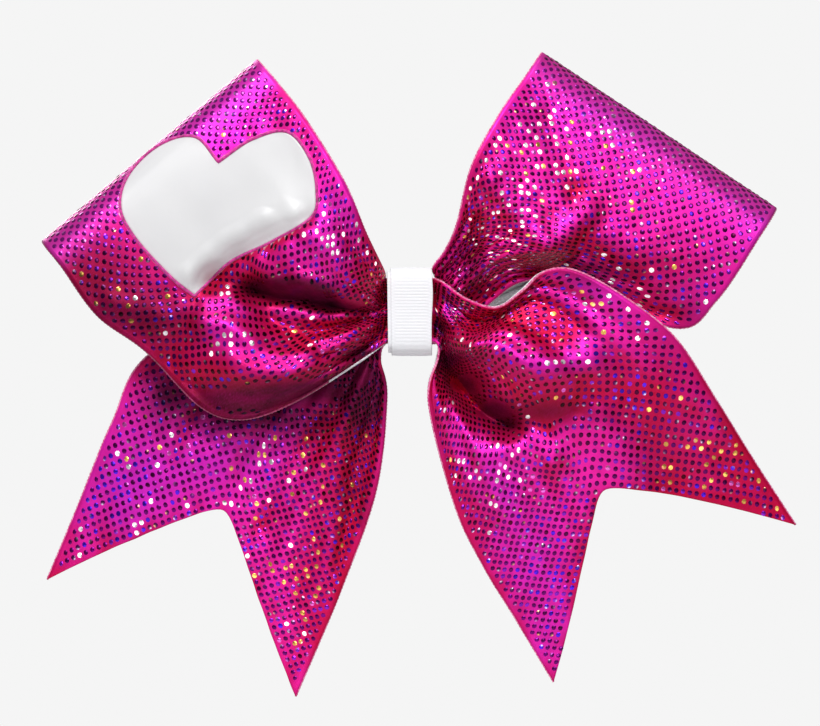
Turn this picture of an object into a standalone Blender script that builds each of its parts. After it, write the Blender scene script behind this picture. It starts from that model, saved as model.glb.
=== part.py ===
"""A cheer hair bow: one wide ribbon, folded into two loops and two swallow tails, pinched by a cable tie,
wrapped with a white centre band and held in the hair by a metal spring clip.

The front of the bow faces -Y, +X is to the wearer's left as seen from the front, and +Z is up. The origin is
on the head side of the clip's arm, behind the middle of the knot. Sizes below are in millimetres; a mesh is
scaled to metres when it is made.
"""

import math

import bmesh
import bpy
import numpy as np
from mathutils import Matrix, Vector

MM = 0.001

# ---- driving sizes, in mm -------------------------------------------------------------------------------

CLEARANCE = 0.3  # between pieces that touch on the real bow

RIBBON_WIDTH = 76.2  # three-inch ribbon
FABRIC = 0.45  # thickness of the dotted face fabric
BACKING = 0.45  # thickness of the white grosgrain backing
PANEL = 0.3  # thickness of the white heart panel

LOOP_REACH = 83.0  # from the knot to the middle of a loop's fold
LOOP_PUFF = 20.0  # how far a loop's face stands in front of the knot
FOLD_RADIUS = 9.0  # roll at the outer end of a loop
FOLD_Y = -24.0  # depth of the middle of that roll
TAIL_REACH = 108.0  # from the knot to midway between a tail's two points
TAIL_END_Y = -10.0  # depth of the tails' cut ends
NOTCH_DEPTH = 0.30  # of the tail's length, cut out as a V
HEART_WIDTH = 53.0

WRAP_WIDTH = 10.9
WRAP_THICKNESS = 0.45
WRAP_TURNS = 2.0
WRAP_LEAN = 0.9  # sideways drift of the wrap over one turn
KNOT_HALF_HEIGHT = 7.8  # the pleated ribbon inside the tie
COLLAR = 6.8  # how far from the middle the strips stay nested, just past the band
TIE_WIDTH = 2.5
TIE_THICKNESS = 1.0

CLIP_LENGTH = 80.0
CLIP_HEIGHT = 9.0
PLATE = 0.8  # the clip's sheet metal
HAIR_GAP = 6.4  # between the arm's face and the tension bar's middle
ARM_THICKNESS = 1.0
BAR_THICKNESS = 0.4
PIN_RADIUS = 0.6

# ---- depths, from the head side (y = 0) towards the front (-y) ------------------------------------------

BAR_MIDDLE_Y = -ARM_THICKNESS - HAIR_GAP - 1.4
WRAP_BACK_Y = BAR_MIDDLE_Y - BAR_THICKNESS - 0.5
TURN_PITCH = WRAP_THICKNESS + CLEARANCE
PLATE_INNER_Y = WRAP_BACK_Y - WRAP_TURNS * TURN_PITCH
PLATE_OUTER_Y = PLATE_INNER_Y - PLATE
GLUE_THICKNESS = 2.7
GLUE_BACK_Y = PLATE_OUTER_Y - CLEARANCE
GLUE_FRONT_Y = GLUE_BACK_Y - GLUE_THICKNESS
TIE_BACK_Y = GLUE_FRONT_Y - CLEARANCE
KNOT_BACK_Y = TIE_BACK_Y - TIE_THICKNESS - CLEARANCE
LOOP_BACK_Y = PLATE_OUTER_Y - 2.0  # a loop's back layer passes just in front of the clip

LAMINATE = FABRIC + CLEARANCE + BACKING
STRIP_STEP = LAMINATE + 1.7  # from one ribbon strip to the next through the knot
PLEAT_BACK, PLEAT_MIDDLE, PLEAT_FRONT = 0.6, 1.0, 1.4
BACK_Y = KNOT_BACK_Y - PLEAT_BACK - LAMINATE / 2
MIDDLE_Y = BACK_Y - STRIP_STEP
FRONT_Y = MIDDLE_Y - STRIP_STEP
KNOT_FRONT_Y = FRONT_Y - PLEAT_FRONT - LAMINATE / 2
TIE_FRONT_Y = KNOT_FRONT_Y - 0.9 - TIE_THICKNESS
TIE_HALF_HEIGHT = KNOT_HALF_HEIGHT + 1.1 + TIE_THICKNESS

# ---- mesh detail ----------------------------------------------------------------------------------------

FRONT_ROWS, ROLL_ROWS, BACK_ROWS, TAIL_ROWS = 13, 4, 8, 13
ACROSS = 12
BAND_SHARE = 0.075  # of a loop's or a tail's run, under the centre band


# ---- scene and mesh helpers -----------------------------------------------------------------------------


def clear_scene():
    for obj in list(bpy.data.objects):
        bpy.data.objects.remove(obj, do_unlink=True)


def make_collection(name):
    collection = bpy.data.collections.new(name)
    bpy.context.scene.collection.children.link(collection)
    return collection


def make_material(name, color, roughness, metallic=0.0):
    material = bpy.data.materials.new(name)
    material.use_nodes = True
    shader = material.node_tree.nodes["Principled BSDF"]
    shader.inputs["Base Color"].default_value = (*color, 1.0)
    shader.inputs["Roughness"].default_value = roughness
    shader.inputs["Metallic"].default_value = metallic
    material.diffuse_color = (*color, 1.0)
    return material


def add_mesh(name, mesh, collection, material=None):
    obj = bpy.data.objects.new(name, mesh)
    collection.objects.link(obj)
    if material:
        obj.data.materials.append(material)
    return obj


def mesh_from_bmesh(name, bm):
    mesh = bpy.data.meshes.new(name)
    bm.to_mesh(mesh)
    bm.free()
    return mesh


def box(name, low, high, collection, material=None):
    """A box between two corners in mm, with its origin at its middle."""
    low, high = Vector(low), Vector(high)
    bm = bmesh.new()
    bmesh.ops.create_cube(bm, size=1.0)
    bmesh.ops.scale(bm, vec=(high - low) * MM, verts=bm.verts)
    obj = add_mesh(name, mesh_from_bmesh(name, bm), collection, material)
    obj.location = (low + high) / 2 * MM
    return obj


def cylinder(name, radius, start, end, collection, material=None, sides=24):
    """A round bar between two points in mm."""
    start, end = Vector(start), Vector(end)
    bm = bmesh.new()
    bmesh.ops.create_cone(
        bm,
        cap_ends=True,
        segments=sides,
        radius1=radius * MM,
        radius2=radius * MM,
        depth=(end - start).length * MM,
    )
    obj = add_mesh(name, mesh_from_bmesh(name, bm), collection, material)
    obj.matrix_world = Matrix.Translation((start + end) / 2 * MM) @ (
        Vector((0, 0, 1)).rotation_difference(end - start).to_matrix().to_4x4()
    )
    return obj


def extruded_outline(name, outlines, plane, middle, thickness, collection, material=None):
    """A flat outline with a thickness, as a mesh. plane gives the world axes of the outline's two coordinates.

    The second and later outlines are holes in the first.
    """
    curve = bpy.data.curves.new(name, "CURVE")
    curve.dimensions = "2D"
    curve.fill_mode = "BOTH"
    curve.extrude = thickness / 2 * MM
    for outline in outlines:
        spline = curve.splines.new("POLY")
        spline.points.add(len(outline) - 1)
        for point, (a, b) in zip(spline.points, outline):
            point.co = (a * MM, b * MM, 0.0, 1.0)
        spline.use_cyclic_u = True
    flat = bpy.data.objects.new(name + "_outline", curve)
    collection.objects.link(flat)
    first, second = (Vector(axis) for axis in plane)
    turn = Matrix((first, second, first.cross(second))).transposed().to_4x4()
    flat.matrix_world = Matrix.Translation(Vector(middle) * MM) @ turn
    bpy.context.view_layer.update()
    graph = bpy.context.evaluated_depsgraph_get()
    mesh = bpy.data.meshes.new_from_object(flat.evaluated_get(graph))
    mesh.name = name
    bm = bmesh.new()
    bm.from_mesh(mesh)
    bmesh.ops.remove_doubles(bm, verts=bm.verts, dist=1e-6)
    bmesh.ops.recalc_face_normals(bm, faces=bm.faces)
    bm.to_mesh(mesh)
    bm.free()
    obj = add_mesh(name, mesh, collection, material)
    obj.matrix_world = flat.matrix_world
    bpy.data.objects.remove(flat, do_unlink=True)
    return obj


def sheet(name, points, thickness, collection, material=None):
    """A grid of points in mm, given a thickness on both sides of it."""
    rows, across = points.shape[:2]
    index = np.arange(rows * across).reshape(rows, across)
    corners = (index[:-1, :-1], index[1:, :-1], index[1:, 1:], index[:-1, 1:])
    faces = np.stack(corners, axis=-1).reshape(-1, 4)
    mesh = bpy.data.meshes.new(name)
    mesh.from_pydata((points.reshape(-1, 3) * MM).tolist(), [], faces.tolist())
    mesh.shade_smooth()
    obj = add_mesh(name, mesh, collection, material)
    wall = obj.modifiers.new("Thickness", "SOLIDIFY")
    wall.thickness = thickness * MM
    wall.offset = 0.0
    return obj


def combine(obj, others, operation):
    for other in others:
        step = obj.modifiers.new(f"{operation.title()} {other.name}", "BOOLEAN")
        step.operation = operation
        step.object = other
        other.hide_render = True
        other.display_type = "WIRE"


# ---- curves and surfaces --------------------------------------------------------------------------------


def smooth_path(points, count, closed=False):
    """Catmull-Rom curve through the points, read at equal steps of length."""
    points = np.asarray(points, float)
    if closed:
        points = np.vstack([points[-1], points, points[:2]])
    else:
        points = np.vstack([2 * points[0] - points[1], points, 2 * points[-1] - points[-2]])
    before, here, after, beyond = points[:-3], points[1:-2], points[2:-1], points[3:]
    t = np.linspace(0, 1, 24, endpoint=False)[None, :, None]
    curve = 0.5 * (
        2 * here[:, None]
        + (after - before)[:, None] * t
        + (2 * before - 5 * here + 4 * after - beyond)[:, None] * t**2
        + (3 * here - before - 3 * after + beyond)[:, None] * t**3
    )
    curve = np.vstack([curve.reshape(-1, points.shape[1]), after[-1]])
    return even_steps(curve, count, closed)


def even_steps(curve, count, closed=False):
    length = np.concatenate([[0], np.cumsum(np.linalg.norm(np.diff(curve, axis=0), axis=1))])
    at = np.linspace(0, length[-1], count + closed)[: count]
    return np.stack([np.interp(at, length, axis) for axis in curve.T], axis=1)


def normals(points):
    along, across = np.gradient(points, axis=0), np.gradient(points, axis=1)
    normal = np.cross(along, across)
    normal[np.abs(points[:, 0, 0]) < CLEARANCE, :, 0] = 0.0
    return normal / np.linalg.norm(normal, axis=2, keepdims=True)


def ridges(q, u, folds):
    """Depth added by soft folds: each is a ridge or a valley along a line in (q, u), fading past its ends."""
    depth = np.zeros_like(q)
    for (q0, u0), (q1, u1), width, height in folds:
        dq, du = q1 - q0, u1 - u0
        t = np.clip(((q - q0) * dq + (u - u0) * du) / (dq**2 + du**2), 0, 1)
        distance = (q - q0 - t * dq) ** 2 + (u - u0 - t * du) ** 2
        depth += height * np.exp(-distance / width**2)
    return depth * (1 - np.exp(-((past_band(q) / 0.09) ** 2)))


def past_band(q):
    """How far past the centre band a row lies: 0 under the band, rising outwards."""
    return np.clip(q - BAND_SHARE, 0, 1)


def pleats(q, u, at_knot, opened):
    """Two ridges with a valley between, held under the band, opening past it and then dying out."""
    free = past_band(q) / 0.12
    opening = free**2 * np.exp(2 - 2 * free)
    return -np.cos(4 * math.pi * u) * (at_knot * (1 - past_band(q)) ** 6 + opened * opening)


class Shape:
    """The plane of a loop or a tail: a point is a share of the way out, a share of the half width, a depth."""

    def __init__(self, reach, out_angle, cross_angle):
        out, cross = math.radians(out_angle), math.radians(cross_angle)
        self.out = reach * np.array([math.cos(out), 0, math.sin(out)])
        self.cross = RIBBON_WIDTH / 2 * np.array([math.cos(cross), 0, math.sin(cross)])

    def at(self, out, across, depth):
        return self.out * out + self.cross * across + np.array([0, depth, 0])

    def roll(self, across, angle):
        """A point on the rolled outer end of a loop, at an angle from the front round to the back."""
        flat = self.cross / np.linalg.norm(self.cross)
        outwards = self.out - flat * (self.out @ flat)
        outwards /= np.linalg.norm(outwards)
        middle = self.at(1, across, FOLD_Y) - outwards * FOLD_RADIUS
        return middle + FOLD_RADIUS * (
            outwards * math.cos(angle) + np.array([0, math.sin(angle), 0])
        )


def section(lower, upper, count):
    """Rows of points between two edges: (count, ACROSS + 1, 3)."""
    u = np.linspace(0, 1, ACROSS + 1)[None, :, None]
    low, high = lower[:, None], upper[:, None]
    return low + (high - low) * u


def loop_surface(shape, side, front_edges, back_edges, front_y, front_pleat, opened, folds):
    """A loop from the knot out along its front, round the roll, and back to the knot behind."""
    gap = side * CLEARANCE / 2
    tall, low = KNOT_HALF_HEIGHT, KNOT_HALF_HEIGHT - 1.6
    turns = np.linspace(-math.pi / 2, math.pi / 2, 5)
    edges = []
    for sign, across, front, back in zip((-1, 1), (-1, 1), front_edges, back_edges):
        start = [np.array([gap, front_y, sign * tall])]
        out = [np.array([side * COLLAR, front_y, sign * (tall + 0.8)])]
        roll = [shape.roll(across, angle) for angle in turns]
        end = [np.array([side * COLLAR, BACK_Y, sign * (low + 0.5)]), np.array([gap, BACK_Y, sign * low])]
        points = start + out + [shape.at(*p) for p in front] + roll + [shape.at(*p) for p in back] + end
        first, last = 2 + len(front), 2 + len(front) + len(turns) - 1
        edges.append(sectioned(points, (first, last)))
    grid = section(*edges, None)
    u = np.broadcast_to(np.linspace(0, 1, ACROSS + 1), grid.shape[:2])
    q_front = np.linspace(0, 1, FRONT_ROWS + 1)
    q_back = np.linspace(1, 0, BACK_ROWS + 1)
    q = np.concatenate([q_front, np.ones(ROLL_ROWS - 1), q_back])[:, None] * np.ones_like(u)
    depth = np.zeros_like(u)
    front = slice(0, FRONT_ROWS + 1)
    fade = 1 - q[front] ** 4
    depth[front] = pleats(q[front], u[front], front_pleat, opened) + ridges(q[front], u[front], folds) * fade
    back = slice(FRONT_ROWS + ROLL_ROWS, None)
    depth[back] = pleats(q[back], u[back], PLEAT_BACK, 0.3)
    grid[:, :, 1] += depth * np.minimum(1, 4 * u * (1 - u) + 0.75)
    return grid


def sectioned(points, breaks):
    """An edge of a loop, read at equal steps within its front, its roll and its back."""
    dense = smooth_path(points, 2000)
    marks = [int(np.argmin(np.linalg.norm(dense - points[i], axis=1))) for i in breaks]
    parts = [
        even_steps(dense[: marks[0] + 1], FRONT_ROWS + 1),
        even_steps(dense[marks[0] : marks[1] + 1], ROLL_ROWS + 1)[1:-1],
        even_steps(dense[marks[1] :], BACK_ROWS + 1),
    ]
    return np.vstack(parts)


def refined(points, times):
    """The grid read at a finer spacing along both directions."""
    for axis in (0, 1):
        points = np.moveaxis(points, axis, 0)
        at = np.linspace(0, len(points) - 1, (len(points) - 1) * times + 1)
        low = np.minimum(at.astype(int), len(points) - 2)
        share = (at - low)[:, None, None]
        points = np.moveaxis(points[low] * (1 - share) + points[low + 1] * share, 0, axis)
    return points


def in_front_of(surface, other, rows, reach=2.5, apart=2.1):
    """The surface with those rows that cross the other one brought forward until they clear it."""
    behind = refined(other, 4).reshape(-1, 3)
    behind = behind[np.abs(behind[:, 0]) > COLLAR - 0.5]
    flat = surface[rows].reshape(-1, 3)
    gap = np.hypot(flat[:, None, 0] - behind[None, :, 0], flat[:, None, 2] - behind[None, :, 2])
    front = np.where(gap < reach, behind[None, :, 1], 1e3).min(axis=1)
    move = np.clip(flat[:, 1] - (front - apart), 0, None).reshape(surface[rows].shape[:2])
    for combined in (np.max, np.mean, np.mean):
        wide = np.pad(move, 1, mode="edge")
        tall, broad = move.shape
        around = [wide[i : i + tall, j : j + broad] for i in range(3) for j in range(3)]
        move = combined(around, axis=0)
    moved = surface.copy()
    past = np.clip((np.abs(moved[rows][:, :, 0]) - COLLAR + 0.2) / 2.0, 0, 1)
    moved[rows][:, :, 1] -= move * past
    return moved


def notch(u):
    """How far each line of the tail runs, as a share of its full length: a V with a rounded bottom."""
    reach = np.sqrt((2 * u - 1) ** 2 + 0.07**2) - 0.07
    return 1 - NOTCH_DEPTH * (1 - reach / reach.max())


def tail_surface(shape, side, first_edge, second_edge, strip_y, pleat, opened, folds):
    """A tail from the knot to its swallow-tail end. The edges are listed from the knot outwards."""
    gap = side * CLEARANCE / 2
    edges = []
    for sign, points in zip((-1, 1), (first_edge, second_edge)):
        start = [np.array([gap, strip_y, sign * KNOT_HALF_HEIGHT])]
        start += [np.array([side * COLLAR, strip_y, sign * (KNOT_HALF_HEIGHT + 0.8)])]
        edges.append(smooth_path(start + [shape.at(*p) for p in points], 400))
    u = np.linspace(0, 1, ACROSS + 1)
    q = np.linspace(0, 1, TAIL_ROWS + 1)[:, None] * notch(u)[None, :]
    at = q * (len(edges[0]) - 1)
    low, high = (
        np.stack([np.interp(at, np.arange(len(edge)), axis) for axis in edge.T], axis=-1)
        for edge in edges
    )
    grid = low + (high - low) * u[None, :, None]
    u = np.broadcast_to(u, q.shape)
    grid[:, :, 1] += pleats(q, u, pleat, opened) + ridges(q, u, folds) * (1 - q**6)
    return grid


def laminate(name, surface, outward, collection, materials):
    """The face fabric and the grosgrain backing on the two sides of one surface."""
    out = normals(surface) * outward
    apart = CLEARANCE / 2
    fabric = sheet(
        name + "_fabric", surface + out * (apart + FABRIC / 2), FABRIC, collection, materials["fabric"]
    )
    backing = sheet(
        name + "_backing", surface - out * (apart + BACKING / 2), BACKING, collection, materials["grosgrain"]
    )
    return fabric, backing


# ---- the ribbon -----------------------------------------------------------------------------------------

LEFT_LOOP = Shape(LOOP_REACH, 148.5, 40.2)
RIGHT_LOOP = Shape(LOOP_REACH, 36.0, 146.4)
RIGHT_TAIL = Shape(TAIL_REACH, -47.9, 33.0)
LEFT_TAIL = Shape(TAIL_REACH, -126.3, 154.8)


def forward(share, strip_y):
    return strip_y - share * LOOP_PUFF


def left_loop():
    upper = [(0.17, 0.15, 0.20), (0.30, 0.31, 0.70), (0.48, 0.55, 0.95), (0.73, 0.80, 0.75)]
    lower = [
        (-0.02, -0.51, 0.10), (0.02, -1.04, 0.20), (0.09, -1.35, 0.22), (0.22, -1.43, 0.25),
        (0.48, -1.29, 0.38), (0.68, -1.25, 0.45),
    ]
    front = [[(a, b, forward(c, FRONT_Y)) for a, b, c in edge] for edge in (lower, upper)]
    back = [
        [(0.72, -0.90, LOOP_BACK_Y), (0.45, -0.65, LOOP_BACK_Y), (0.20, -0.38, LOOP_BACK_Y - 1)],
        [(0.75, 0.78, LOOP_BACK_Y), (0.48, 0.50, LOOP_BACK_Y), (0.26, 0.26, LOOP_BACK_Y - 1)],
    ]
    folds = [
        ((0.15, 0.50), (0.50, 0.42), 0.07, 6.0),
        ((0.20, 0.25), (0.50, 0.22), 0.13, -8.0),
        ((0.25, 0.72), (0.60, 0.70), 0.18, -4.0),
    ]
    return loop_surface(LEFT_LOOP, -1, front, back, FRONT_Y, PLEAT_FRONT, 1.6, folds)


def right_loop():
    upper = [
        (0.17, 0.17, 0.10), (0.24, 0.22, 0.28), (0.34, 0.33, 0.60), (0.53, 0.61, 0.95),
        (0.73, 0.80, 0.85),
    ]
    lower = [
        (0.06, -0.32, 0.00), (0.17, -0.30, 0.06), (0.30, -0.31, 0.16), (0.38, -0.55, 0.22),
        (0.46, -1.28, 0.36), (0.62, -1.29, 0.50),
    ]
    front = [[(a, b, forward(c, MIDDLE_Y)) for a, b, c in edge] for edge in (lower, upper)]
    back = [
        [(0.72, -0.90, LOOP_BACK_Y), (0.45, -0.75, LOOP_BACK_Y), (0.20, -0.50, LOOP_BACK_Y - 1)],
        [(0.75, 0.78, LOOP_BACK_Y), (0.48, 0.50, LOOP_BACK_Y), (0.26, 0.22, LOOP_BACK_Y - 1)],
    ]
    folds = [
        ((0.15, 0.55), (0.55, 0.50), 0.16, -4.0),
        ((0.45, 0.12), (0.70, 0.10), 0.12, 3.0),
    ]
    return loop_surface(RIGHT_LOOP, 1, front, back, MIDDLE_Y, PLEAT_MIDDLE, 0.8, folds)


def right_tail():
    lower = [
        (0.135, -0.08, FRONT_Y), (0.22, -0.35, FRONT_Y + 1.5), (0.48, -0.71, FRONT_Y + 6),
        (0.65, -0.85, FRONT_Y + 9), (0.80, -0.93, TAIL_END_Y - 2), (1.00, -1.04, TAIL_END_Y),
    ]
    upper = [
        (0.05, 0.35, FRONT_Y - 2.5), (0.11, 0.47, FRONT_Y - 5), (0.11, 0.68, FRONT_Y - 8),
        (0.10, 0.89, FRONT_Y - 10), (0.14, 1.06, FRONT_Y - 12), (0.26, 1.19, FRONT_Y - 13),
        (0.42, 1.27, FRONT_Y - 10), (0.61, 1.20, FRONT_Y - 3), (0.80, 1.12, TAIL_END_Y - 6),
        (1.00, 1.04, TAIL_END_Y),
    ]
    folds = [
        ((0.14, 0.30), (0.30, 0.26), 0.09, 4.0),
        ((0.20, 0.58), (0.36, 0.56), 0.15, -8.0),
        ((0.32, 0.10), (0.50, 0.18), 0.10, -2.0),
    ]
    return tail_surface(RIGHT_TAIL, 1, lower, upper, FRONT_Y, PLEAT_FRONT, 1.6, folds)


def left_tail():
    lower = [
        (0.15, -0.03, MIDDLE_Y), (0.23, -0.23, MIDDLE_Y + 1), (0.46, -0.57, MIDDLE_Y + 5),
        (0.74, -0.80, TAIL_END_Y - 2), (1.03, -0.99, TAIL_END_Y),
    ]
    upper = [
        (-0.02, 0.50, MIDDLE_Y), (0.09, 0.85, MIDDLE_Y + 1), (0.38, 1.35, MIDDLE_Y + 3),
        (0.59, 1.28, MIDDLE_Y + 5), (0.83, 1.12, TAIL_END_Y - 2), (1.03, 0.99, TAIL_END_Y),
    ]
    folds = [((0.20, 0.25), (0.55, 0.28), 0.12, -2.5)]
    return tail_surface(LEFT_TAIL, -1, lower, upper, MIDDLE_Y, PLEAT_MIDDLE, 0.3, folds)


def heart_outline(shrink):
    """Half outlines from the cusp between the lobes to the point below, in mm about the heart's middle."""
    left = [
        (0, 12), (-6.5, 19), (-16, 17), (-24, 9.5), (-26.5, 0.5), (-22.5, -8), (-13, -18.5),
        (-6.5, -23.8),
    ]
    right = [
        (0, 12), (9, 18), (18.5, 20), (24.5, 13), (26.5, 4), (25, -3), (14, -9.5), (2.5, -15),
        (-6.5, -23.8),
    ]
    scale = HEART_WIDTH / 53.0
    outline = np.vstack([smooth_path(left, 14)[:-1], smooth_path(right, 16)[:0:-1]]) * scale
    if shrink:
        edge = np.roll(outline, -1, axis=0) - np.roll(outline, 1, axis=0)
        edge /= np.linalg.norm(edge, axis=1, keepdims=True)
        inward = np.stack([-edge[:, 1], edge[:, 0]], axis=1)
        outline = outline + inward * shrink
    middle = LEFT_LOOP.at(0.694, -0.093, 0)
    return outline + [middle[0], middle[2]]


def heart_cutter(name, shrink, cutters):
    depth = 60.0
    middle_y = FOLD_Y - 1.0 - depth / 2
    outline = heart_outline(shrink)
    return extruded_outline(
        name, [outline], ((1, 0, 0), (0, 0, 1)), (0, middle_y, 0), depth, cutters
    )


def make_ribbon(parts, cutters, materials):
    left_end, right_bow = left_tail(), right_loop()
    front = slice(0, FRONT_ROWS + 1)
    surface = in_front_of(left_loop(), left_end, front)
    right_end = in_front_of(right_tail(), right_bow[front], slice(0, TAIL_ROWS + 1))
    fabric, _ = laminate("left_loop", surface, -1, parts, materials)
    combine(fabric, [heart_cutter("heart_window", 0.0, cutters)], "DIFFERENCE")
    lift = CLEARANCE / 2 + PANEL / 2
    panel = sheet("heart_panel", surface - normals(surface) * lift, PANEL, parts, materials["white_panel"])
    combine(panel, [heart_cutter("heart_shape", CLEARANCE, cutters)], "INTERSECT")
    laminate("right_loop", right_bow, 1, parts, materials)
    laminate("right_tail", right_end, 1, parts, materials)
    laminate("left_tail", left_end, -1, parts, materials)


# ---- the knot: tie, glue and wrap -----------------------------------------------------------------------


def rounded_box_outline(back, front, half_height, back_radius, front_radius, steps=5):
    """A rounded rectangle in (y, z), from the back towards the front (-y)."""
    corners = [
        (back - back_radius, half_height - back_radius, back_radius, 0),
        (front + front_radius, half_height - front_radius, front_radius, 90),
        (front + front_radius, -half_height + front_radius, front_radius, 180),
        (back - back_radius, -half_height + back_radius, back_radius, 270),
    ]
    points = []
    for y, z, radius, start in corners:
        for step in range(steps + 1):
            angle = math.radians(start + 90 * step / steps)
            points.append((y + radius * math.cos(angle), z + radius * math.sin(angle)))
    return points


def make_tie(parts, cutters, materials):
    back = TIE_BACK_Y - TIE_THICKNESS
    hole = rounded_box_outline(back, TIE_FRONT_Y + TIE_THICKNESS, TIE_HALF_HEIGHT - TIE_THICKNESS, 1.2, 1.6)
    outer = rounded_box_outline(TIE_BACK_Y, TIE_FRONT_Y, TIE_HALF_HEIGHT, 2.2, 2.6)
    tie = extruded_outline(
        "cable_tie", [outer, hole], ((0, 1, 0), (0, 0, 1)), (0, 0, 0), TIE_WIDTH, parts, materials["nylon"]
    )
    head = box(
        "tie_head", (-2.3, TIE_BACK_Y - 0.6, -2.7), (2.3, GLUE_BACK_Y, 2.7), cutters
    )
    combine(tie, [head], "UNION")


def make_glue(parts, cutters, materials):
    pad = box(
        "glue_pad", (-4.7, GLUE_FRONT_Y, -4.4), (4.7, GLUE_BACK_Y, 4.4), parts, materials["glue"]
    )
    edge = pad.modifiers.new("Soft edges", "BEVEL")
    edge.width = 0.5 * MM
    edge.segments = 2
    pocket = box(
        "tie_pocket", (-2.3 - CLEARANCE, GLUE_FRONT_Y - 1, -2.7 - CLEARANCE),
        (2.3 + CLEARANCE, GLUE_BACK_Y + 1, 2.7 + CLEARANCE), cutters,
    )
    combine(pad, [pocket], "DIFFERENCE")


def wrap_surface(rows_per_turn=44, across=2):
    """The centre band: a strip wound from behind the clip's plate, round the knot, for WRAP_TURNS turns."""
    front = TIE_FRONT_Y - 1.5 * CLEARANCE
    side = TIE_HALF_HEIGHT + 1.5 * CLEARANCE
    plate = CLIP_HEIGHT / 2 + 2 * CLEARANCE
    half = [
        (PLATE_INNER_Y + CLEARANCE, 0.0), (PLATE_INNER_Y + CLEARANCE, plate - 1.0),
        (PLATE_INNER_Y, plate + 0.1), (PLATE_OUTER_Y - 0.3, plate + 0.35),
        (TIE_BACK_Y + 1.2, side - 2.0), (KNOT_BACK_Y + 0.6, side - 0.3), (MIDDLE_Y, side),
        (FRONT_Y, side), (TIE_FRONT_Y + 2.4, side - 0.1), (TIE_FRONT_Y + 0.6, side - 0.7),
        (front + 0.1, side - 2.7), (front, 0.0),
    ]
    ring = half + [(y, -z) for y, z in half[-2:0:-1]]
    base = smooth_path(ring, rows_per_turn, closed=True)
    tangent = np.roll(base, -1, axis=0) - np.roll(base, 1, axis=0)
    tangent /= np.linalg.norm(tangent, axis=1, keepdims=True)
    outward = np.stack([-tangent[:, 1], tangent[:, 0]], axis=1)
    if outward[0, 0] < 0:
        outward = -outward
    steps = np.arange(int(WRAP_TURNS * rows_per_turn) - 3)
    turn = steps / rows_per_turn
    at = steps % rows_per_turn
    path = base[at] + outward[at] * (turn * TURN_PITCH + WRAP_THICKNESS / 2)[:, None]
    lean = (turn - 1.5) * WRAP_LEAN
    x = lean[:, None] + np.linspace(-0.5, 0.5, across + 1)[None, :] * WRAP_WIDTH
    y, z = (np.broadcast_to(axis[:, None], x.shape) for axis in path.T)
    return np.stack([x, y, z], axis=-1)


def make_wrap(parts, materials):
    sheet("centre_wrap", wrap_surface(), WRAP_THICKNESS, parts, materials["grosgrain"])


# ---- the clip -------------------------------------------------------------------------------------------

HALF_LENGTH = CLIP_LENGTH / 2
HINGE_X, HINGE_Y = HALF_LENGTH - 4.0, BAR_MIDDLE_Y + 4.6
EAR_INNER = CLIP_HEIGHT / 2 - PLATE - 0.1
ARM_HALF_HEIGHT = EAR_INNER - 2 * CLEARANCE
CHEEK = 0.8  # thickness of the arm's side walls
CATCH_X = -HALF_LENGTH + 4.0
CATCH_LOW_X, CATCH_HIGH_X = CATCH_X - 2.2, CATCH_X + 2.2
BRACKET_TOP_Y = PLATE_INNER_Y + CLEARANCE + PLATE
LEG_FOOT_Y = BRACKET_TOP_Y + CLEARANCE
LEG_INNER, LEG_THICKNESS = 2.0, 0.6
LEG_PIVOT_Z = LEG_INNER + LEG_THICKNESS / 2
END_WEB_DROP = 1.8  # the arm's free end is set down, so that the hooks stay below the head side
HOOK = 0.22  # how far the hooks stand out, short of the arm's window
BAR_LOW_X, BAR_HIGH_X = CATCH_HIGH_X + 4.0, HINGE_X - 5.0
BAR_HALF_HEIGHT = 2.2
BAR_FLAT_END = 4.0
BAR_END_Y = PLATE_INNER_Y + CLEARANCE + BAR_THICKNESS
RIVET_RADIUS = 0.7


def rounded_strip(low_x, high_x, half_height, radius, steps=5):
    corners = [
        (high_x, half_height, 0), (low_x, half_height, 90), (low_x, -half_height, 180),
        (high_x, -half_height, 270),
    ]
    points = []
    for x, z, start in corners:
        middle_x = x - radius if x > 0 else x + radius
        middle_z = z - radius if z > 0 else z + radius
        for step in range(steps + 1):
            angle = math.radians(start + 90 * step / steps)
            points.append((middle_x + radius * math.cos(angle), middle_z + radius * math.sin(angle)))
    return points


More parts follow.
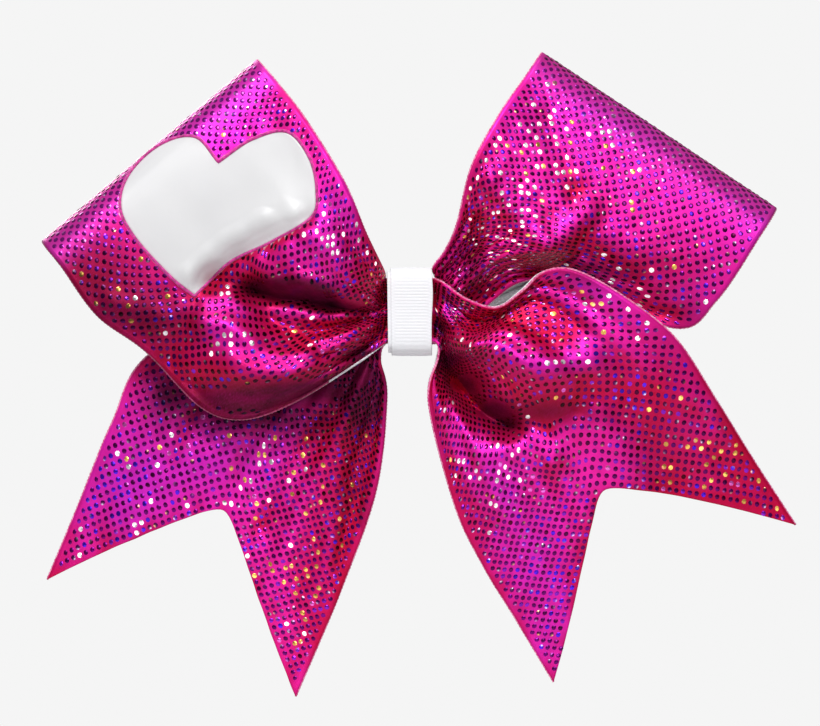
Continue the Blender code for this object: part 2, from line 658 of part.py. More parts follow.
def make_plate(parts, cutters, materials):
    plate = extruded_outline(
        "clip_plate", [rounded_strip(-HALF_LENGTH, HALF_LENGTH, CLIP_HEIGHT / 2, 3.0)],
        ((1, 0, 0), (0, 0, 1)), (0, (PLATE_INNER_Y + PLATE_OUTER_Y) / 2, 0), PLATE, parts, materials["steel"],
    )
    additions, holes = [], []
    for side in (-1, 1):
        ear = box(
            f"ear_{side}", (HINGE_X - 2.6, PLATE_INNER_Y - 0.4, min(side * EAR_INNER, side * (EAR_INNER + PLATE))),
            (HINGE_X + 2.6, HINGE_Y + 1.9, max(side * EAR_INNER, side * (EAR_INNER + PLATE))), cutters,
        )
        rounding = ear.modifiers.new("Round", "BEVEL")
        rounding.width = 0.3 * MM
        rounding.segments = 1
        additions.append(ear)
    holes.append(
        cylinder("pin_hole", PIN_RADIUS + CLEARANCE, (HINGE_X, HINGE_Y, -9), (HINGE_X, HINGE_Y, 9), cutters)
    )
    for x in (-HALF_LENGTH + 14, HALF_LENGTH - 14):
        for z in (-2.4, 2.4):
            holes.append(
                cylinder(
                    f"sewing_hole_{x:.0f}_{z:.0f}", 0.9, (x, PLATE_OUTER_Y - 2, z), (x, PLATE_INNER_Y + 2, z),
                    cutters, sides=16,
                )
            )
    for x in (CATCH_X, BAR_HIGH_X - 2.5):
        holes.append(
            cylinder(
                f"rivet_hole_{x:.0f}", RIVET_RADIUS + CLEARANCE, (x, PLATE_OUTER_Y - 2, 0),
                (x, PLATE_INNER_Y + 2, 0), cutters, sides=16,
            )
        )
    combine(plate, additions, "UNION")
    combine(plate, holes, "DIFFERENCE")


def make_rivet(name, x, inner_y, parts, cutters, materials):
    """A rivet with a head on each side of the metal that it holds."""
    shank = cylinder(
        name, RIVET_RADIUS, (x, PLATE_OUTER_Y - CLEARANCE - 0.3, 0), (x, inner_y + CLEARANCE + 0.3, 0), parts,
        materials["steel"], sides=16,
    )
    heads = []
    for end, y in (("front", PLATE_OUTER_Y - CLEARANCE), ("back", inner_y + CLEARANCE)):
        step = -0.5 if end == "front" else 0.5
        heads.append(cylinder(f"{name}_{end}_head", 1.3, (x, y, 0), (x, y + step, 0), cutters, sides=16))
    combine(shank, heads, "UNION")


def make_pin(parts, cutters, materials):
    outer = EAR_INNER + PLATE + CLEARANCE
    pin = cylinder(
        "hinge_pin", PIN_RADIUS, (HINGE_X, HINGE_Y, -outer - 0.3), (HINGE_X, HINGE_Y, outer + 0.3), parts,
        materials["steel"], sides=16,
    )
    heads = [
        cylinder(
            f"pin_head_{side}", 1.1, (HINGE_X, HINGE_Y, side * outer), (HINGE_X, HINGE_Y, side * (outer + 0.5)),
            cutters, sides=16,
        )
        for side in (-1, 1)
    ]
    combine(pin, heads, "UNION")


def cheek_outline(low_x):
    """The arm's side wall: a shallow flange that drops to a round lug about the hinge."""
    lug = 1.6
    half_circle = [
        (HINGE_X + lug * math.cos(angle), HINGE_Y + lug * math.sin(angle))
        for angle in np.linspace(0, -math.pi, 11)
    ]
    flange_y = -ARM_THICKNESS - 1.2
    return [(HINGE_X + lug, -0.3)] + half_circle + [
        (HINGE_X - lug, flange_y - 1.0), (HINGE_X - lug - 2.0, flange_y), (low_x, flange_y), (low_x, -0.3),
    ]


def make_arm(parts, cutters, materials):
    """The arm that closes against the head: a channel with lugs at the hinge and a windowed end at the catch."""
    step_x = CATCH_HIGH_X + 2.6
    tip_x = -HALF_LENGTH - 0.6
    outline = [
        (HINGE_X + 1.4, 0), (step_x, 0), (step_x - 2.0, -END_WEB_DROP), (tip_x, -END_WEB_DROP),
        (tip_x, -END_WEB_DROP - 0.8), (step_x - 1.7, -END_WEB_DROP - 0.8),
        (step_x + 0.6, -ARM_THICKNESS), (HINGE_X + 1.4, -ARM_THICKNESS),
    ]
    web_half_height = ARM_HALF_HEIGHT - CHEEK / 2
    arm = extruded_outline(
        "clip_arm", [outline], ((1, 0, 0), (0, 1, 0)), (0, 0, 0), 2 * web_half_height, parts, materials["steel"]
    )
    cheeks = [
        extruded_outline(
            f"cheek_{side}", [cheek_outline(step_x + 1.0)], ((1, 0, 0), (0, 1, 0)),
            (0, 0, side * (ARM_HALF_HEIGHT - CHEEK / 2)), CHEEK, cutters,
        )
        for side in (-1, 1)
    ]
    window = LEG_INNER + LEG_THICKNESS + CLEARANCE
    end_pad = box(
        "end_pad", (tip_x + 0.2, -END_WEB_DROP - 0.9, -window - 1.3),
        (CATCH_HIGH_X + 1.3, -END_WEB_DROP + 0.1, window + 1.3), cutters,
    )
    cuts = [
        cylinder("arm_pin_hole", PIN_RADIUS + CLEARANCE, (HINGE_X, HINGE_Y, -9), (HINGE_X, HINGE_Y, 9), cutters),
        box(
            "arm_window", (CATCH_LOW_X - CLEARANCE, -6, -window), (CATCH_HIGH_X + CLEARANCE, 2, window), cutters
        ),
    ]
    combine(arm, cheeks + [end_pad], "UNION")
    combine(arm, cuts, "DIFFERENCE")


def bar_top(x):
    """The tension bar's face towards the arm: flat at its two ends and bowed between them."""
    share = (2 * x - BAR_LOW_X - BAR_HIGH_X) / (BAR_HIGH_X - BAR_LOW_X - 2 * BAR_FLAT_END)
    return BAR_END_Y + (BAR_MIDDLE_Y - BAR_END_Y) * np.clip(1 - share**2, 0, 1)


def make_bar(parts, cutters, materials):
    """The sprung tension bar: a thin strip bowed towards the arm, held at its hinge end by a rivet."""
    bowed = np.linspace(BAR_LOW_X + BAR_FLAT_END, BAR_HIGH_X - BAR_FLAT_END, 21)
    x = np.concatenate([[BAR_LOW_X], bowed, [BAR_HIGH_X]])
    top = bar_top(x)
    outline = [(a, b) for a, b in zip(x, top)] + [(a, b - BAR_THICKNESS) for a, b in zip(x[::-1], top[::-1])]
    bar = extruded_outline(
        "tension_bar", [outline], ((1, 0, 0), (0, 1, 0)), (0, 0, 0), 2 * BAR_HALF_HEIGHT, parts, materials["steel"]
    )
    hole = cylinder(
        "bar_rivet_hole", RIVET_RADIUS + CLEARANCE, (BAR_HIGH_X - 2.5, PLATE_INNER_Y - 2, 0),
        (BAR_HIGH_X - 2.5, BAR_MIDDLE_Y + 2, 0), cutters, sides=16,
    )
    combine(bar, [hole], "DIFFERENCE")


def make_catch(parts, cutters, materials):
    """The catch: a bracket on the plate, and two legs that are pinched together to free the arm."""
    bracket = box(
        "catch_bracket", (CATCH_LOW_X, PLATE_INNER_Y + CLEARANCE, -3.2), (CATCH_HIGH_X, BRACKET_TOP_Y, 3.2), parts,
        materials["steel"],
    )
    hole = cylinder(
        "bracket_rivet_hole", RIVET_RADIUS + CLEARANCE, (CATCH_X, PLATE_INNER_Y - 2, 0),
        (CATCH_X, BRACKET_TOP_Y + 2, 0), cutters, sides=16,
    )
    combine(bracket, [hole], "DIFFERENCE")
    hook_top = -END_WEB_DROP + 1.3
    for name, side in (("catch_leg_upper", 1), ("catch_leg_lower", -1)):
        outer = LEG_INNER + LEG_THICKNESS
        outline = [
            (LEG_FOOT_Y, LEG_INNER), (hook_top, LEG_INNER), (hook_top, outer), (hook_top - 0.9, outer + HOOK),
            (hook_top - 1.0, outer), (LEG_FOOT_Y + 2.4, outer), (LEG_FOOT_Y + 2.4, outer + 4.4),
            (LEG_FOOT_Y + 1.7, outer + 4.4), (LEG_FOOT_Y + 1.7, outer), (LEG_FOOT_Y, outer),
        ]
        extruded_outline(
            name, [[(y, side * z) for y, z in outline]], ((0, 1, 0), (0, 0, 1)), (CATCH_X, 0, 0),
            CATCH_HIGH_X - CATCH_LOW_X - 0.6, parts, materials["steel"],
        )


def make_clip(parts, cutters, materials):
    make_plate(parts, cutters, materials)
    make_arm(parts, cutters, materials)
    make_bar(parts, cutters, materials)
    make_catch(parts, cutters, materials)
    make_pin(parts, cutters, materials)
    make_rivet("bar_rivet", BAR_HIGH_X - 2.5, BAR_END_Y, parts, cutters, materials)
    make_rivet("catch_rivet", CATCH_X, BRACKET_TOP_Y, parts, cutters, materials)


def main():
    clear_scene()
    parts = make_collection("cheer_hair_bow")
    cutters = make_collection("cutters")
    materials = {
        "fabric": make_material("dotted_fabric", (0.76, 0.01, 0.32), 0.35),
        "grosgrain": make_material("white_grosgrain", (0.86, 0.86, 0.87), 0.75),
        "white_panel": make_material("white_panel", (0.88, 0.88, 0.89), 0.4),
        "nylon": make_material("nylon", (0.8, 0.8, 0.78), 0.5),
        "glue": make_material("hot_glue", (0.85, 0.82, 0.72), 0.4),
        "steel": make_material("nickel_steel", (0.62, 0.61, 0.58), 0.3, 1.0),
    }
    make_ribbon(parts, cutters, materials)
    make_tie(parts, cutters, materials)
    make_glue(parts, cutters, materials)
    make_wrap(parts, materials)
    make_clip(parts, cutters, materials)


main()
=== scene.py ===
"""A cheer hair bow: dotted magenta ribbon lined with white grosgrain, two puffed loops, two swallow tails,
a white heart let into the left loop and a ribbed white band round the knot, on a spring clip.

The bow's face looks along -Y and +Z is up. Sizes are in millimetres until a mesh is made."""

import math

import bpy
import numpy as np
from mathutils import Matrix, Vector


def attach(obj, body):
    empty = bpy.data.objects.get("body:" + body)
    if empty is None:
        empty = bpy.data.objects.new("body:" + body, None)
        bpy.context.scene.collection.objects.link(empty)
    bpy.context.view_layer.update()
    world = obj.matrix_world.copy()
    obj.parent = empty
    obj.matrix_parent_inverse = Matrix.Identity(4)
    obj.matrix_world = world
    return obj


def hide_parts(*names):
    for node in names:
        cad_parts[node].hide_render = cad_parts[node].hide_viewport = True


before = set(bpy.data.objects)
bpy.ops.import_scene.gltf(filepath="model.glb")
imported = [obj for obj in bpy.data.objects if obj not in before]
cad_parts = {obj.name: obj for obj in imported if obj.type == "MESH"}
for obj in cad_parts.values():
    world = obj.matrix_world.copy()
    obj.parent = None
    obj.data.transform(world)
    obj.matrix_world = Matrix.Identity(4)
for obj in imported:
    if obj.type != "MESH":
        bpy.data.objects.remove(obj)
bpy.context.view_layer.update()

MM = 0.001

# ---- sizes shared with the solids --------------------------------------------------------------------------

CLEARANCE = 0.3
RIBBON_WIDTH = 76.2
LAMINATE = 1.2
LOOP_REACH, LOOP_PUFF, FOLD_RADIUS, FOLD_Y = 83.0, 20.0, 9.0, -24.0
TAIL_REACH, TAIL_END_Y, NOTCH_DEPTH = 108.0, -10.0, 0.30
KNOT_HALF_HEIGHT, COLLAR, BAND_SHARE = 7.8, 6.8, 0.075
PLEAT_BACK, PLEAT_MIDDLE, PLEAT_FRONT = 0.6, 1.0, 1.4
PLATE_INNER_Y, PLATE_OUTER_Y = -11.2, -12.0
TIE_BACK_Y, KNOT_BACK_Y = -15.3, -16.6
LOOP_BACK_Y = PLATE_OUTER_Y - 2.0
BACK_Y = KNOT_BACK_Y - PLEAT_BACK - LAMINATE / 2
MIDDLE_Y = BACK_Y - 2.9
FRONT_Y = MIDDLE_Y - 2.9
TIE_FRONT_Y = FRONT_Y - PLEAT_FRONT - LAMINATE / 2 - 1.9
TIE_HALF_HEIGHT = KNOT_HALF_HEIGHT + 2.1
CLIP_HEIGHT = 9.0

SOLID_ROWS = (13, 4, 8, 12)  # front, roll, back and across, as in the solids
CLOTH_ROWS = (91, 24, 48, 96)
SOLID_TAIL, CLOTH_TAIL = (13, 12), (117, 96)

CLOTH = 0.36  # thickness of the face fabric, and of the lining
LIFT = 0.33  # from the middle of the ribbon to the middle of either layer
DOT_PITCH, DOT_RADIUS, DOT_SIDES = 1.97, 0.73, 8
DOT_RINGS = ((0.0, 0.10), (0.66, 0.085), (1.0, 0.015))  # each ring's share of the radius, and its height
DOT_MARGIN = 1.0  # bare ribbon along either edge
DOTLESS_START = 5.0  # length of the ribbon at the knot that holds no dots
UNDER_BAND_X = 6.4  # no dots nearer the middle than this, where the band covers the ribbon
SHADED_Y = -14.5  # only what lies further forward than this is shaded by the folds
SELVAGE_RADIUS, SELVAGE_NUB = 0.22, 0.15
NEAR_SELVAGE_X = -21.5  # where the left loop's lower edge turns from silver to dark
HEART_RINGS, HEART_POINTS = 40, 240
HEART_THICKNESS, HEART_RIM_RADIUS = 0.3, 0.42
WINDOW_POINTS = 160
BAND_WIDTH, BAND_THICKNESS, BAND_RIB_PITCH = 10.9, 0.34, 0.83
BAND_STEPS = 440  # points round one turn of the band
BAND_END_STEPS = 30  # what its second turn stops short by
FLOOR_RADIUS, FLOOR_Z, FLOOR_POINTS = 230.0, -150.0, 96


# ---- curves and grids --------------------------------------------------------------------------------------


def even_steps(curve, count, closed=False):
    """Reads a dense polyline at equal steps of its length."""
    length = np.concatenate([[0], np.cumsum(np.linalg.norm(np.diff(curve, axis=0), axis=1))])
    at = np.linspace(0, length[-1], count + closed)[:count]
    return np.stack([np.interp(at, length, axis) for axis in curve.T], axis=1)


def smooth_path(points, count, closed=False):
    """A Catmull-Rom curve: each span is the cubic through its two points whose slopes there are half the
    difference of the neighbours on either side. It is read at equal steps of length."""
    points = np.asarray(points, float)
    if closed:
        points = np.vstack([points[-1], points, points[:2]])
    else:
        points = np.vstack([2 * points[0] - points[1], points, 2 * points[-1] - points[-2]])
    before, here, after, beyond = points[:-3], points[1:-2], points[2:-1], points[3:]
    t = np.linspace(0, 1, 24, endpoint=False)[None, :, None]
    curve = 0.5 * (
        2 * here[:, None]
        + (after - before)[:, None] * t
        + (2 * before - 5 * here + 4 * after - beyond)[:, None] * t**2
        + (3 * here - before - 3 * after + beyond)[:, None] * t**3
    )
    return even_steps(np.vstack([curve.reshape(-1, points.shape[1]), after[-1]]), count, closed)


def read_grid(grid, row, column):
    """The grid's value at fractional rows and columns: the weighted mean of the four points around."""
    row = np.clip(row, 0, grid.shape[0] - 1.000001)
    column = np.clip(column, 0, grid.shape[1] - 1.000001)
    i, j = row.astype(int), column.astype(int)
    a, b = (row - i)[..., None], (column - j)[..., None]
    return (grid[i, j] * (1 - a) + grid[i + 1, j] * a) * (1 - b) + (
        grid[i, j + 1] * (1 - a) + grid[i + 1, j + 1] * a
    ) * b


def refined(grid, rows, columns):
    """The same grid read at other numbers of rows and columns."""
    row, column = np.meshgrid(
        np.linspace(0, grid.shape[0] - 1, rows), np.linspace(0, grid.shape[1] - 1, columns), indexing="ij"
    )
    return read_grid(grid, row, column)


def box_mean(values, times):
    """Repeated three-by-three averaging, with the edges held."""
    for _ in range(times):
        wide = np.pad(values, 1, mode="edge")
        rows = wide[:-2] + wide[1:-1] + wide[2:]
        values = (rows[:, :-2] + rows[:, 1:-1] + rows[:, 2:]) / 9
    return values


def normals(grid):
    """The unit normal at each grid point: the cross product of the differences along and across."""
    normal = np.cross(np.gradient(grid, axis=0), np.gradient(grid, axis=1))
    normal[np.abs(grid[:, 0, 0]) < CLEARANCE, :, 0] = 0.0
    return normal / np.maximum(np.linalg.norm(normal, axis=2, keepdims=True), 1e-9)


# ---- the ribbon's shape ------------------------------------------------------------------------------------


def past_band(q):
    """How far out a share of the way is past the band's edge."""
    return np.clip(q - BAND_SHARE, 0, 1)


def ridges(q, u, folds):
    """Soft folds: each adds its height times a bell curve of the distance to a line in (q, u)."""
    depth = np.zeros_like(q)
    for (q0, u0), (q1, u1), width, height in folds:
        dq, du = q1 - q0, u1 - u0
        t = np.clip(((q - q0) * dq + (u - u0) * du) / (dq**2 + du**2), 0, 1)
        distance = (q - q0 - t * dq) ** 2 + (u - u0 - t * du) ** 2
        depth += height * np.exp(-distance / width**2)
    return depth * (1 - np.exp(-((past_band(q) / 0.09) ** 2)))


def pleats(q, u, at_knot, opened):
    """Two ridges and a valley, a cosine of two waves across, held under the band, opening past it."""
    free = past_band(q) / 0.12
    opening = free**2 * np.exp(2 - 2 * free)
    return -np.cos(4 * math.pi * u) * (at_knot * (1 - past_band(q)) ** 6 + opened * opening)


def creases(grid, q, lines):
    """Folds that follow lines drawn over the bow's face: each adds its height times a bell curve of the
    distance in (x, z) to the nearest point of its line, and all fade to nothing under the band."""
    depth = np.zeros(q.shape)
    at = grid[:, :, [0, 2]]
    for line, width, height in lines:
        nearest = np.full(q.shape, 1e9)
        for start, end in zip(np.array(line[:-1], float), np.array(line[1:], float)):
            span = end - start
            t = np.clip(((at - start) @ span) / (span @ span), 0, 1)[..., None]
            nearest = np.minimum(nearest, ((at - start - t * span) ** 2).sum(axis=-1))
        depth += height * np.exp(-nearest / width**2)
    return depth * (1 - np.exp(-((past_band(q) / 0.06) ** 2)))


def puckers(q, u, seed, size):
    """The cloth's own unevenness: a few dozen slanting waves of about a centimetre, each with its own turn."""
    rng = np.random.default_rng(seed)
    depth = np.zeros_like(q)
    for _ in range(26):
        turn, waves = rng.uniform(0, math.pi), rng.uniform(5, 15)
        along, aside = waves * math.cos(turn) * 1.25, waves * math.sin(turn)
        depth += np.sin(2 * math.pi * (along * q + aside * u) + rng.uniform(0, 6.3)) / waves
    return depth * size * past_band(q) ** 0.5


def gathers(q, u, seed):
    """Small crimps that run out from the knot: waves across, each with its own count, size and length."""
    rng = np.random.default_rng(seed)
    depth = np.zeros_like(q)
    for waves in (5, 7, 9, 13):
        phase, size, run = rng.uniform(0, 6.3), rng.uniform(0.22, 0.42), rng.uniform(0.12, 0.26)
        drift = rng.uniform(-1.5, 1.5)
        free = past_band(q) / run
        depth += size * np.sin(2 * math.pi * waves * u + phase + drift * q) * free * np.exp(1 - free)
    return depth


class Shape:
    """The plane of a loop or a tail: a point is a share of the way out, a share of the half width, a depth."""

    def __init__(self, reach, out_angle, cross_angle):
        out, cross = math.radians(out_angle), math.radians(cross_angle)
        self.out = reach * np.array([math.cos(out), 0, math.sin(out)])
        self.cross = RIBBON_WIDTH / 2 * np.array([math.cos(cross), 0, math.sin(cross)])

    def at(self, out, across, depth):
        return self.out * out + self.cross * across + np.array([0, depth, 0])

    def roll(self, across, angle):
        """A point on the rolled end of a loop: a circle of FOLD_RADIUS about a line across the ribbon."""
        flat = self.cross / np.linalg.norm(self.cross)
        outwards = self.out - flat * (self.out @ flat)
        outwards /= np.linalg.norm(outwards)
        middle = self.at(1, across, FOLD_Y) - outwards * FOLD_RADIUS
        return middle + FOLD_RADIUS * (outwards * math.cos(angle) + np.array([0, math.sin(angle), 0]))


LEFT_LOOP = Shape(LOOP_REACH, 148.5, 40.2)
RIGHT_LOOP = Shape(LOOP_REACH, 36.0, 146.4)
RIGHT_TAIL = Shape(TAIL_REACH, -47.9, 33.0)
LEFT_TAIL = Shape(TAIL_REACH, -126.3, 154.8)


def loop_surface(
    counts, shape, side, strip_y, upper, lower, back_upper, back_lower, pleat, opened, folds, lines, seed
):
    """A loop: its two edges are smooth paths out along the front, round the roll and back behind, and each
    row is the straight line between them, moved in depth by the pleats and folds."""
    front_rows, roll_rows, back_rows, across = counts
    gap = side * CLEARANCE / 2
    edges = []
    for sign, front, back in ((-1, lower, back_lower), (1, upper, back_upper)):
        tall, low = sign * KNOT_HALF_HEIGHT, sign * (KNOT_HALF_HEIGHT - 1.6)
        start = [np.array([gap, strip_y, tall]), np.array([side * COLLAR, strip_y, tall + sign * 0.8])]
        roll = [shape.roll(sign, angle) for angle in np.linspace(-math.pi / 2, math.pi / 2, 5)]
        end = [np.array([side * COLLAR, BACK_Y, low + sign * 0.5]), np.array([gap, BACK_Y, low])]
        out = [shape.at(a, b, strip_y - c * LOOP_PUFF) for a, b, c in front]
        points = start + out + roll + [shape.at(*p) for p in back] + end
        dense = smooth_path(points, 2000)
        first, last = (
            int(np.argmin(np.linalg.norm(dense - points[i], axis=1)))
            for i in (2 + len(front), 2 + len(front) + 4)
        )
        edges.append(
            np.vstack(
                [
                    even_steps(dense[: first + 1], front_rows + 1),
                    even_steps(dense[first : last + 1], roll_rows + 1)[1:-1],
                    even_steps(dense[last:], back_rows + 1),
                ]
            )
        )
    u = np.broadcast_to(np.linspace(0, 1, across + 1), (len(edges[0]), across + 1))
    grid = edges[0][:, None] + (edges[1] - edges[0])[:, None] * u[..., None]
    q = np.concatenate(
        [np.linspace(0, 1, front_rows + 1), np.ones(roll_rows - 1), np.linspace(1, 0, back_rows + 1)]
    )[:, None] * np.ones_like(u)
    depth = np.zeros_like(u)
    front, back = slice(0, front_rows + 1), slice(front_rows + roll_rows, None)
    depth[front] = pleats(q[front], u[front], pleat, opened) + ridges(q[front], u[front], folds) * (
        1 - q[front] ** 4
    )
    depth[front] += gathers(q[front], u[front], seed) + creases(grid[front], q[front], lines)
    depth[front] += puckers(q[front], u[front], seed + 2, 0.32) * (1 - q[front] ** 6)
    depth[back] = pleats(q[back], u[back], PLEAT_BACK, 0.3) + 3.0 * gathers(q[back], u[back], seed + 1)
    grid[:, :, 1] += depth * np.minimum(1, 4 * u * (1 - u) + 0.75)
    return grid


def notch(u):
    """How far each line of a tail runs, as a share of its full length: a V with a rounded bottom."""
    reach = np.sqrt((2 * u - 1) ** 2 + 0.07**2) - 0.07
    return 1 - NOTCH_DEPTH * (1 - reach / reach.max())


def tail_surface(counts, shape, side, strip_y, first, second, pleat, opened, folds, lines, seed):
    """A tail: straight rows between two smooth edges, each line across stopped at the V of the cut end."""
    rows, across = counts
    gap = side * CLEARANCE / 2
    edges = []
    for sign, points in ((-1, first), (1, second)):
        start = [np.array([gap, strip_y, sign * KNOT_HALF_HEIGHT])]
        start += [np.array([side * COLLAR, strip_y, sign * (KNOT_HALF_HEIGHT + 0.8)])]
        edges.append(smooth_path(start + [shape.at(*p) for p in points], 400))
    u = np.linspace(0, 1, across + 1)
    q = np.linspace(0, 1, rows + 1)[:, None] * notch(u)[None, :]
    at = q * (len(edges[0]) - 1)
    low, high = (
        np.stack([np.interp(at, np.arange(len(edge)), axis) for axis in edge.T], axis=-1) for edge in edges
    )
    grid = low + (high - low) * u[None, :, None]
    u = np.broadcast_to(u, q.shape)
    depth = pleats(q, u, pleat, opened) + ridges(q, u, folds) * (1 - q**6) + gathers(q, u, seed)
    grid[:, :, 1] += depth + creases(grid, q, lines) + puckers(q, u, seed + 2, 0.30)
    return grid


def left_loop(counts):
    return loop_surface(
        counts, LEFT_LOOP, -1, FRONT_Y,
        [(0.17, 0.15, 0.20), (0.30, 0.31, 0.70), (0.48, 0.55, 0.95), (0.73, 0.80, 0.75)],
        [
            (-0.02, -0.51, 0.10), (0.02, -1.04, 0.20), (0.09, -1.35, 0.22), (0.22, -1.43, 0.25),
            (0.48, -1.29, 0.38), (0.68, -1.25, 0.45),
        ],
        [(0.75, 0.78, LOOP_BACK_Y), (0.48, 0.50, LOOP_BACK_Y), (0.26, 0.26, LOOP_BACK_Y - 1)],
        [(0.72, -0.90, LOOP_BACK_Y), (0.45, -0.65, LOOP_BACK_Y), (0.20, -0.38, LOOP_BACK_Y - 1)],
        PLEAT_FRONT, 1.6,
        [
            ((0.15, 0.50), (0.50, 0.42), 0.07, 6.0),
            ((0.20, 0.25), (0.50, 0.22), 0.13, -8.0),
            ((0.25, 0.72), (0.60, 0.70), 0.18, -4.0),
        ],
        [
            ([(-54, 9), (-43, 5.5)], 3.4, 3.0),
            ([(-43, 5.5), (-33, 3.2), (-22, 1.2)], 2.6, 7.5),
            ([(-22, 1.2), (-9, -1)], 1.6, 2.6),
            ([(-56, -3), (-42, -6), (-22, -5), (-10, -4.5)], 3.4, -2.4),
            ([(-24, -12), (-16, -11.5), (-8, -9)], 2.2, 2.2),
            ([(-62, -19), (-48, -22), (-38, -21)], 3.5, 1.6),
            ([(-30, 24), (-20, 16), (-10, 6)], 3.2, -1.6),
            ([(-31, 9), (-20, 6), (-9, 2.5)], 1.8, -1.2),
            ([(-55, 7), (-47, 14), (-36, 20), (-28, 24)], 2.4, 2.6),
            ([(-60, 10), (-52, 18), (-40, 25)], 2.8, -1.6),
            ([(-80, 2), (-66, -2), (-57, 2)], 3.4, -1.2),
            ([(-58, 3), (-62, -8), (-66, -14)], 3.0, 1.4),
        ],
        11,
    )


def right_loop(counts):
    return loop_surface(
        counts, RIGHT_LOOP, 1, MIDDLE_Y,
        [(0.17, 0.17, 0.10), (0.24, 0.22, 0.28), (0.34, 0.33, 0.60), (0.53, 0.61, 0.95), (0.73, 0.80, 0.85)],
        [
            (0.06, -0.32, 0.00), (0.17, -0.30, 0.06), (0.30, -0.31, 0.16), (0.38, -0.55, 0.22),
            (0.46, -1.28, 0.36), (0.62, -1.29, 0.50),
        ],
        [(0.75, 0.78, LOOP_BACK_Y), (0.48, 0.50, LOOP_BACK_Y), (0.26, 0.22, LOOP_BACK_Y - 1)],
        [(0.72, -0.90, LOOP_BACK_Y), (0.45, -0.75, LOOP_BACK_Y), (0.20, -0.50, LOOP_BACK_Y - 1)],
        PLEAT_MIDDLE, 0.8,
        [((0.15, 0.55), (0.55, 0.50), 0.16, -4.0), ((0.45, 0.12), (0.70, 0.10), 0.12, 3.0)],
        [
            ([(17, 24), (17, 16), (14, 8)], 2.4, 2.2),
            ([(12, 6), (26, 12), (40, 19), (48, 27)], 3.2, -2.2),
            ([(34, 12), (47, 17), (60, 8)], 4.0, 2.2),
            ([(22, 34), (30, 26), (36, 16)], 3.6, -1.3),
            ([(36, 52), (44, 34), (50, 26)], 5.0, 1.0),
        ],
        23,
    )


def right_tail(counts):
    y = FRONT_Y
    return tail_surface(
        counts, RIGHT_TAIL, 1, y,
        [
            (0.135, -0.08, y), (0.22, -0.35, y + 1.5), (0.48, -0.71, y + 6), (0.65, -0.85, y + 9),
            (0.80, -0.93, TAIL_END_Y - 2), (1.00, -1.04, TAIL_END_Y),
        ],
        [
            (0.05, 0.35, y - 2.5), (0.11, 0.47, y - 5), (0.11, 0.68, y - 8), (0.10, 0.89, y - 10),
            (0.14, 1.06, y - 12), (0.26, 1.19, y - 13), (0.42, 1.27, y - 10), (0.61, 1.20, y - 3),
            (0.80, 1.12, TAIL_END_Y - 6), (1.00, 1.04, TAIL_END_Y),
        ],
        PLEAT_FRONT, 1.6,
        [
            ((0.14, 0.30), (0.30, 0.26), 0.09, 4.0),
            ((0.20, 0.58), (0.36, 0.56), 0.15, -8.0),
            ((0.32, 0.10), (0.50, 0.18), 0.10, -2.0),
        ],
        [
            ([(6, -3.5), (15, -3), (23, -1)], 1.8, 2.2),
            ([(7, -13), (12, -20)], 2.2, 2.6),
            ([(12, -20), (18, -26), (26, -31.5)], 3.0, 7.0),
            ([(12, -9), (24, -13), (38, -15), (48, -13)], 4.6, -3.0),
            ([(26, -30), (38, -29), (46, -24)], 4.4, 2.4),
            ([(22, -39), (30, -37), (38, -40)], 3.6, -1.6),
            ([(9, -32), (13, -44), (20, -58)], 3.0, 0.9),
            ([(58, -24), (65, -36), (72, -46)], 4.5, 1.5),
            ([(50, -4), (62, -12), (74, -24)], 4.0, -1.4),
        ],
        31,
    )


def left_tail(counts):
    y = MIDDLE_Y
    return tail_surface(
        counts, LEFT_TAIL, -1, y,
        [
            (0.15, -0.03, y), (0.23, -0.23, y + 1), (0.46, -0.57, y + 5), (0.74, -0.80, TAIL_END_Y - 2),
            (1.03, -0.99, TAIL_END_Y),
        ],
        [
            (-0.02, 0.50, y), (0.09, 0.85, y + 1), (0.38, 1.35, y + 3), (0.59, 1.28, y + 5),
            (0.83, 1.12, TAIL_END_Y - 2), (1.03, 0.99, TAIL_END_Y),
        ],
        PLEAT_MIDDLE, 0.3,
        [((0.20, 0.25), (0.55, 0.28), 0.12, -2.5)],
        [
            ([(-9, -12), (-20, -36), (-23, -80)], 3.6, -2.0),
            ([(-12, -30), (-16, -50), (-22, -80)], 3.0, 1.2),
            ([(-26, -30), (-34, -46), (-40, -58)], 3.6, 1.4),
            ([(-44, -30), (-60, -44), (-76, -56)], 5.0, -1.2),
        ],
        47,
    )


def forward_move(surface, other, reach=2.5, apart=2.1):
    """How far each point has to come forward to clear the layer behind it: the front of that layer within
    reach, less the room for two thicknesses; widened to its neighbours and averaged."""
    behind = refined(other, other.shape[0] * 4, other.shape[1] * 4).reshape(-1, 3)
    behind = behind[np.abs(behind[:, 0]) > COLLAR - 0.5]
    flat = surface.reshape(-1, 3)
    gap = np.hypot(flat[:, None, 0] - behind[None, :, 0], flat[:, None, 2] - behind[None, :, 2])
    front = np.where(gap < reach, behind[None, :, 1], 1e3).min(axis=1)
    move = np.clip(flat[:, 1] - (front - apart), 0, None).reshape(surface.shape[:2])
    wide = np.pad(move, 1, mode="edge")
    rows, columns = move.shape
    move = np.max([wide[i : i + rows, j : j + columns] for i in range(3) for j in range(3)], axis=0)
    return box_mean(move, 2)


def brought_forward(surface, move):
    """The surface with the move, read at its own fineness, taken off its depth outside the band."""
    past = np.clip((np.abs(surface[:, :, 0]) - COLLAR + 0.2) / 2.0, 0, 1)
    surface = surface.copy()
    fine = refined(move[..., None], *surface.shape[:2])[..., 0]
    surface[:, :, 1] -= box_mean(fine, 6) * past
    return surface


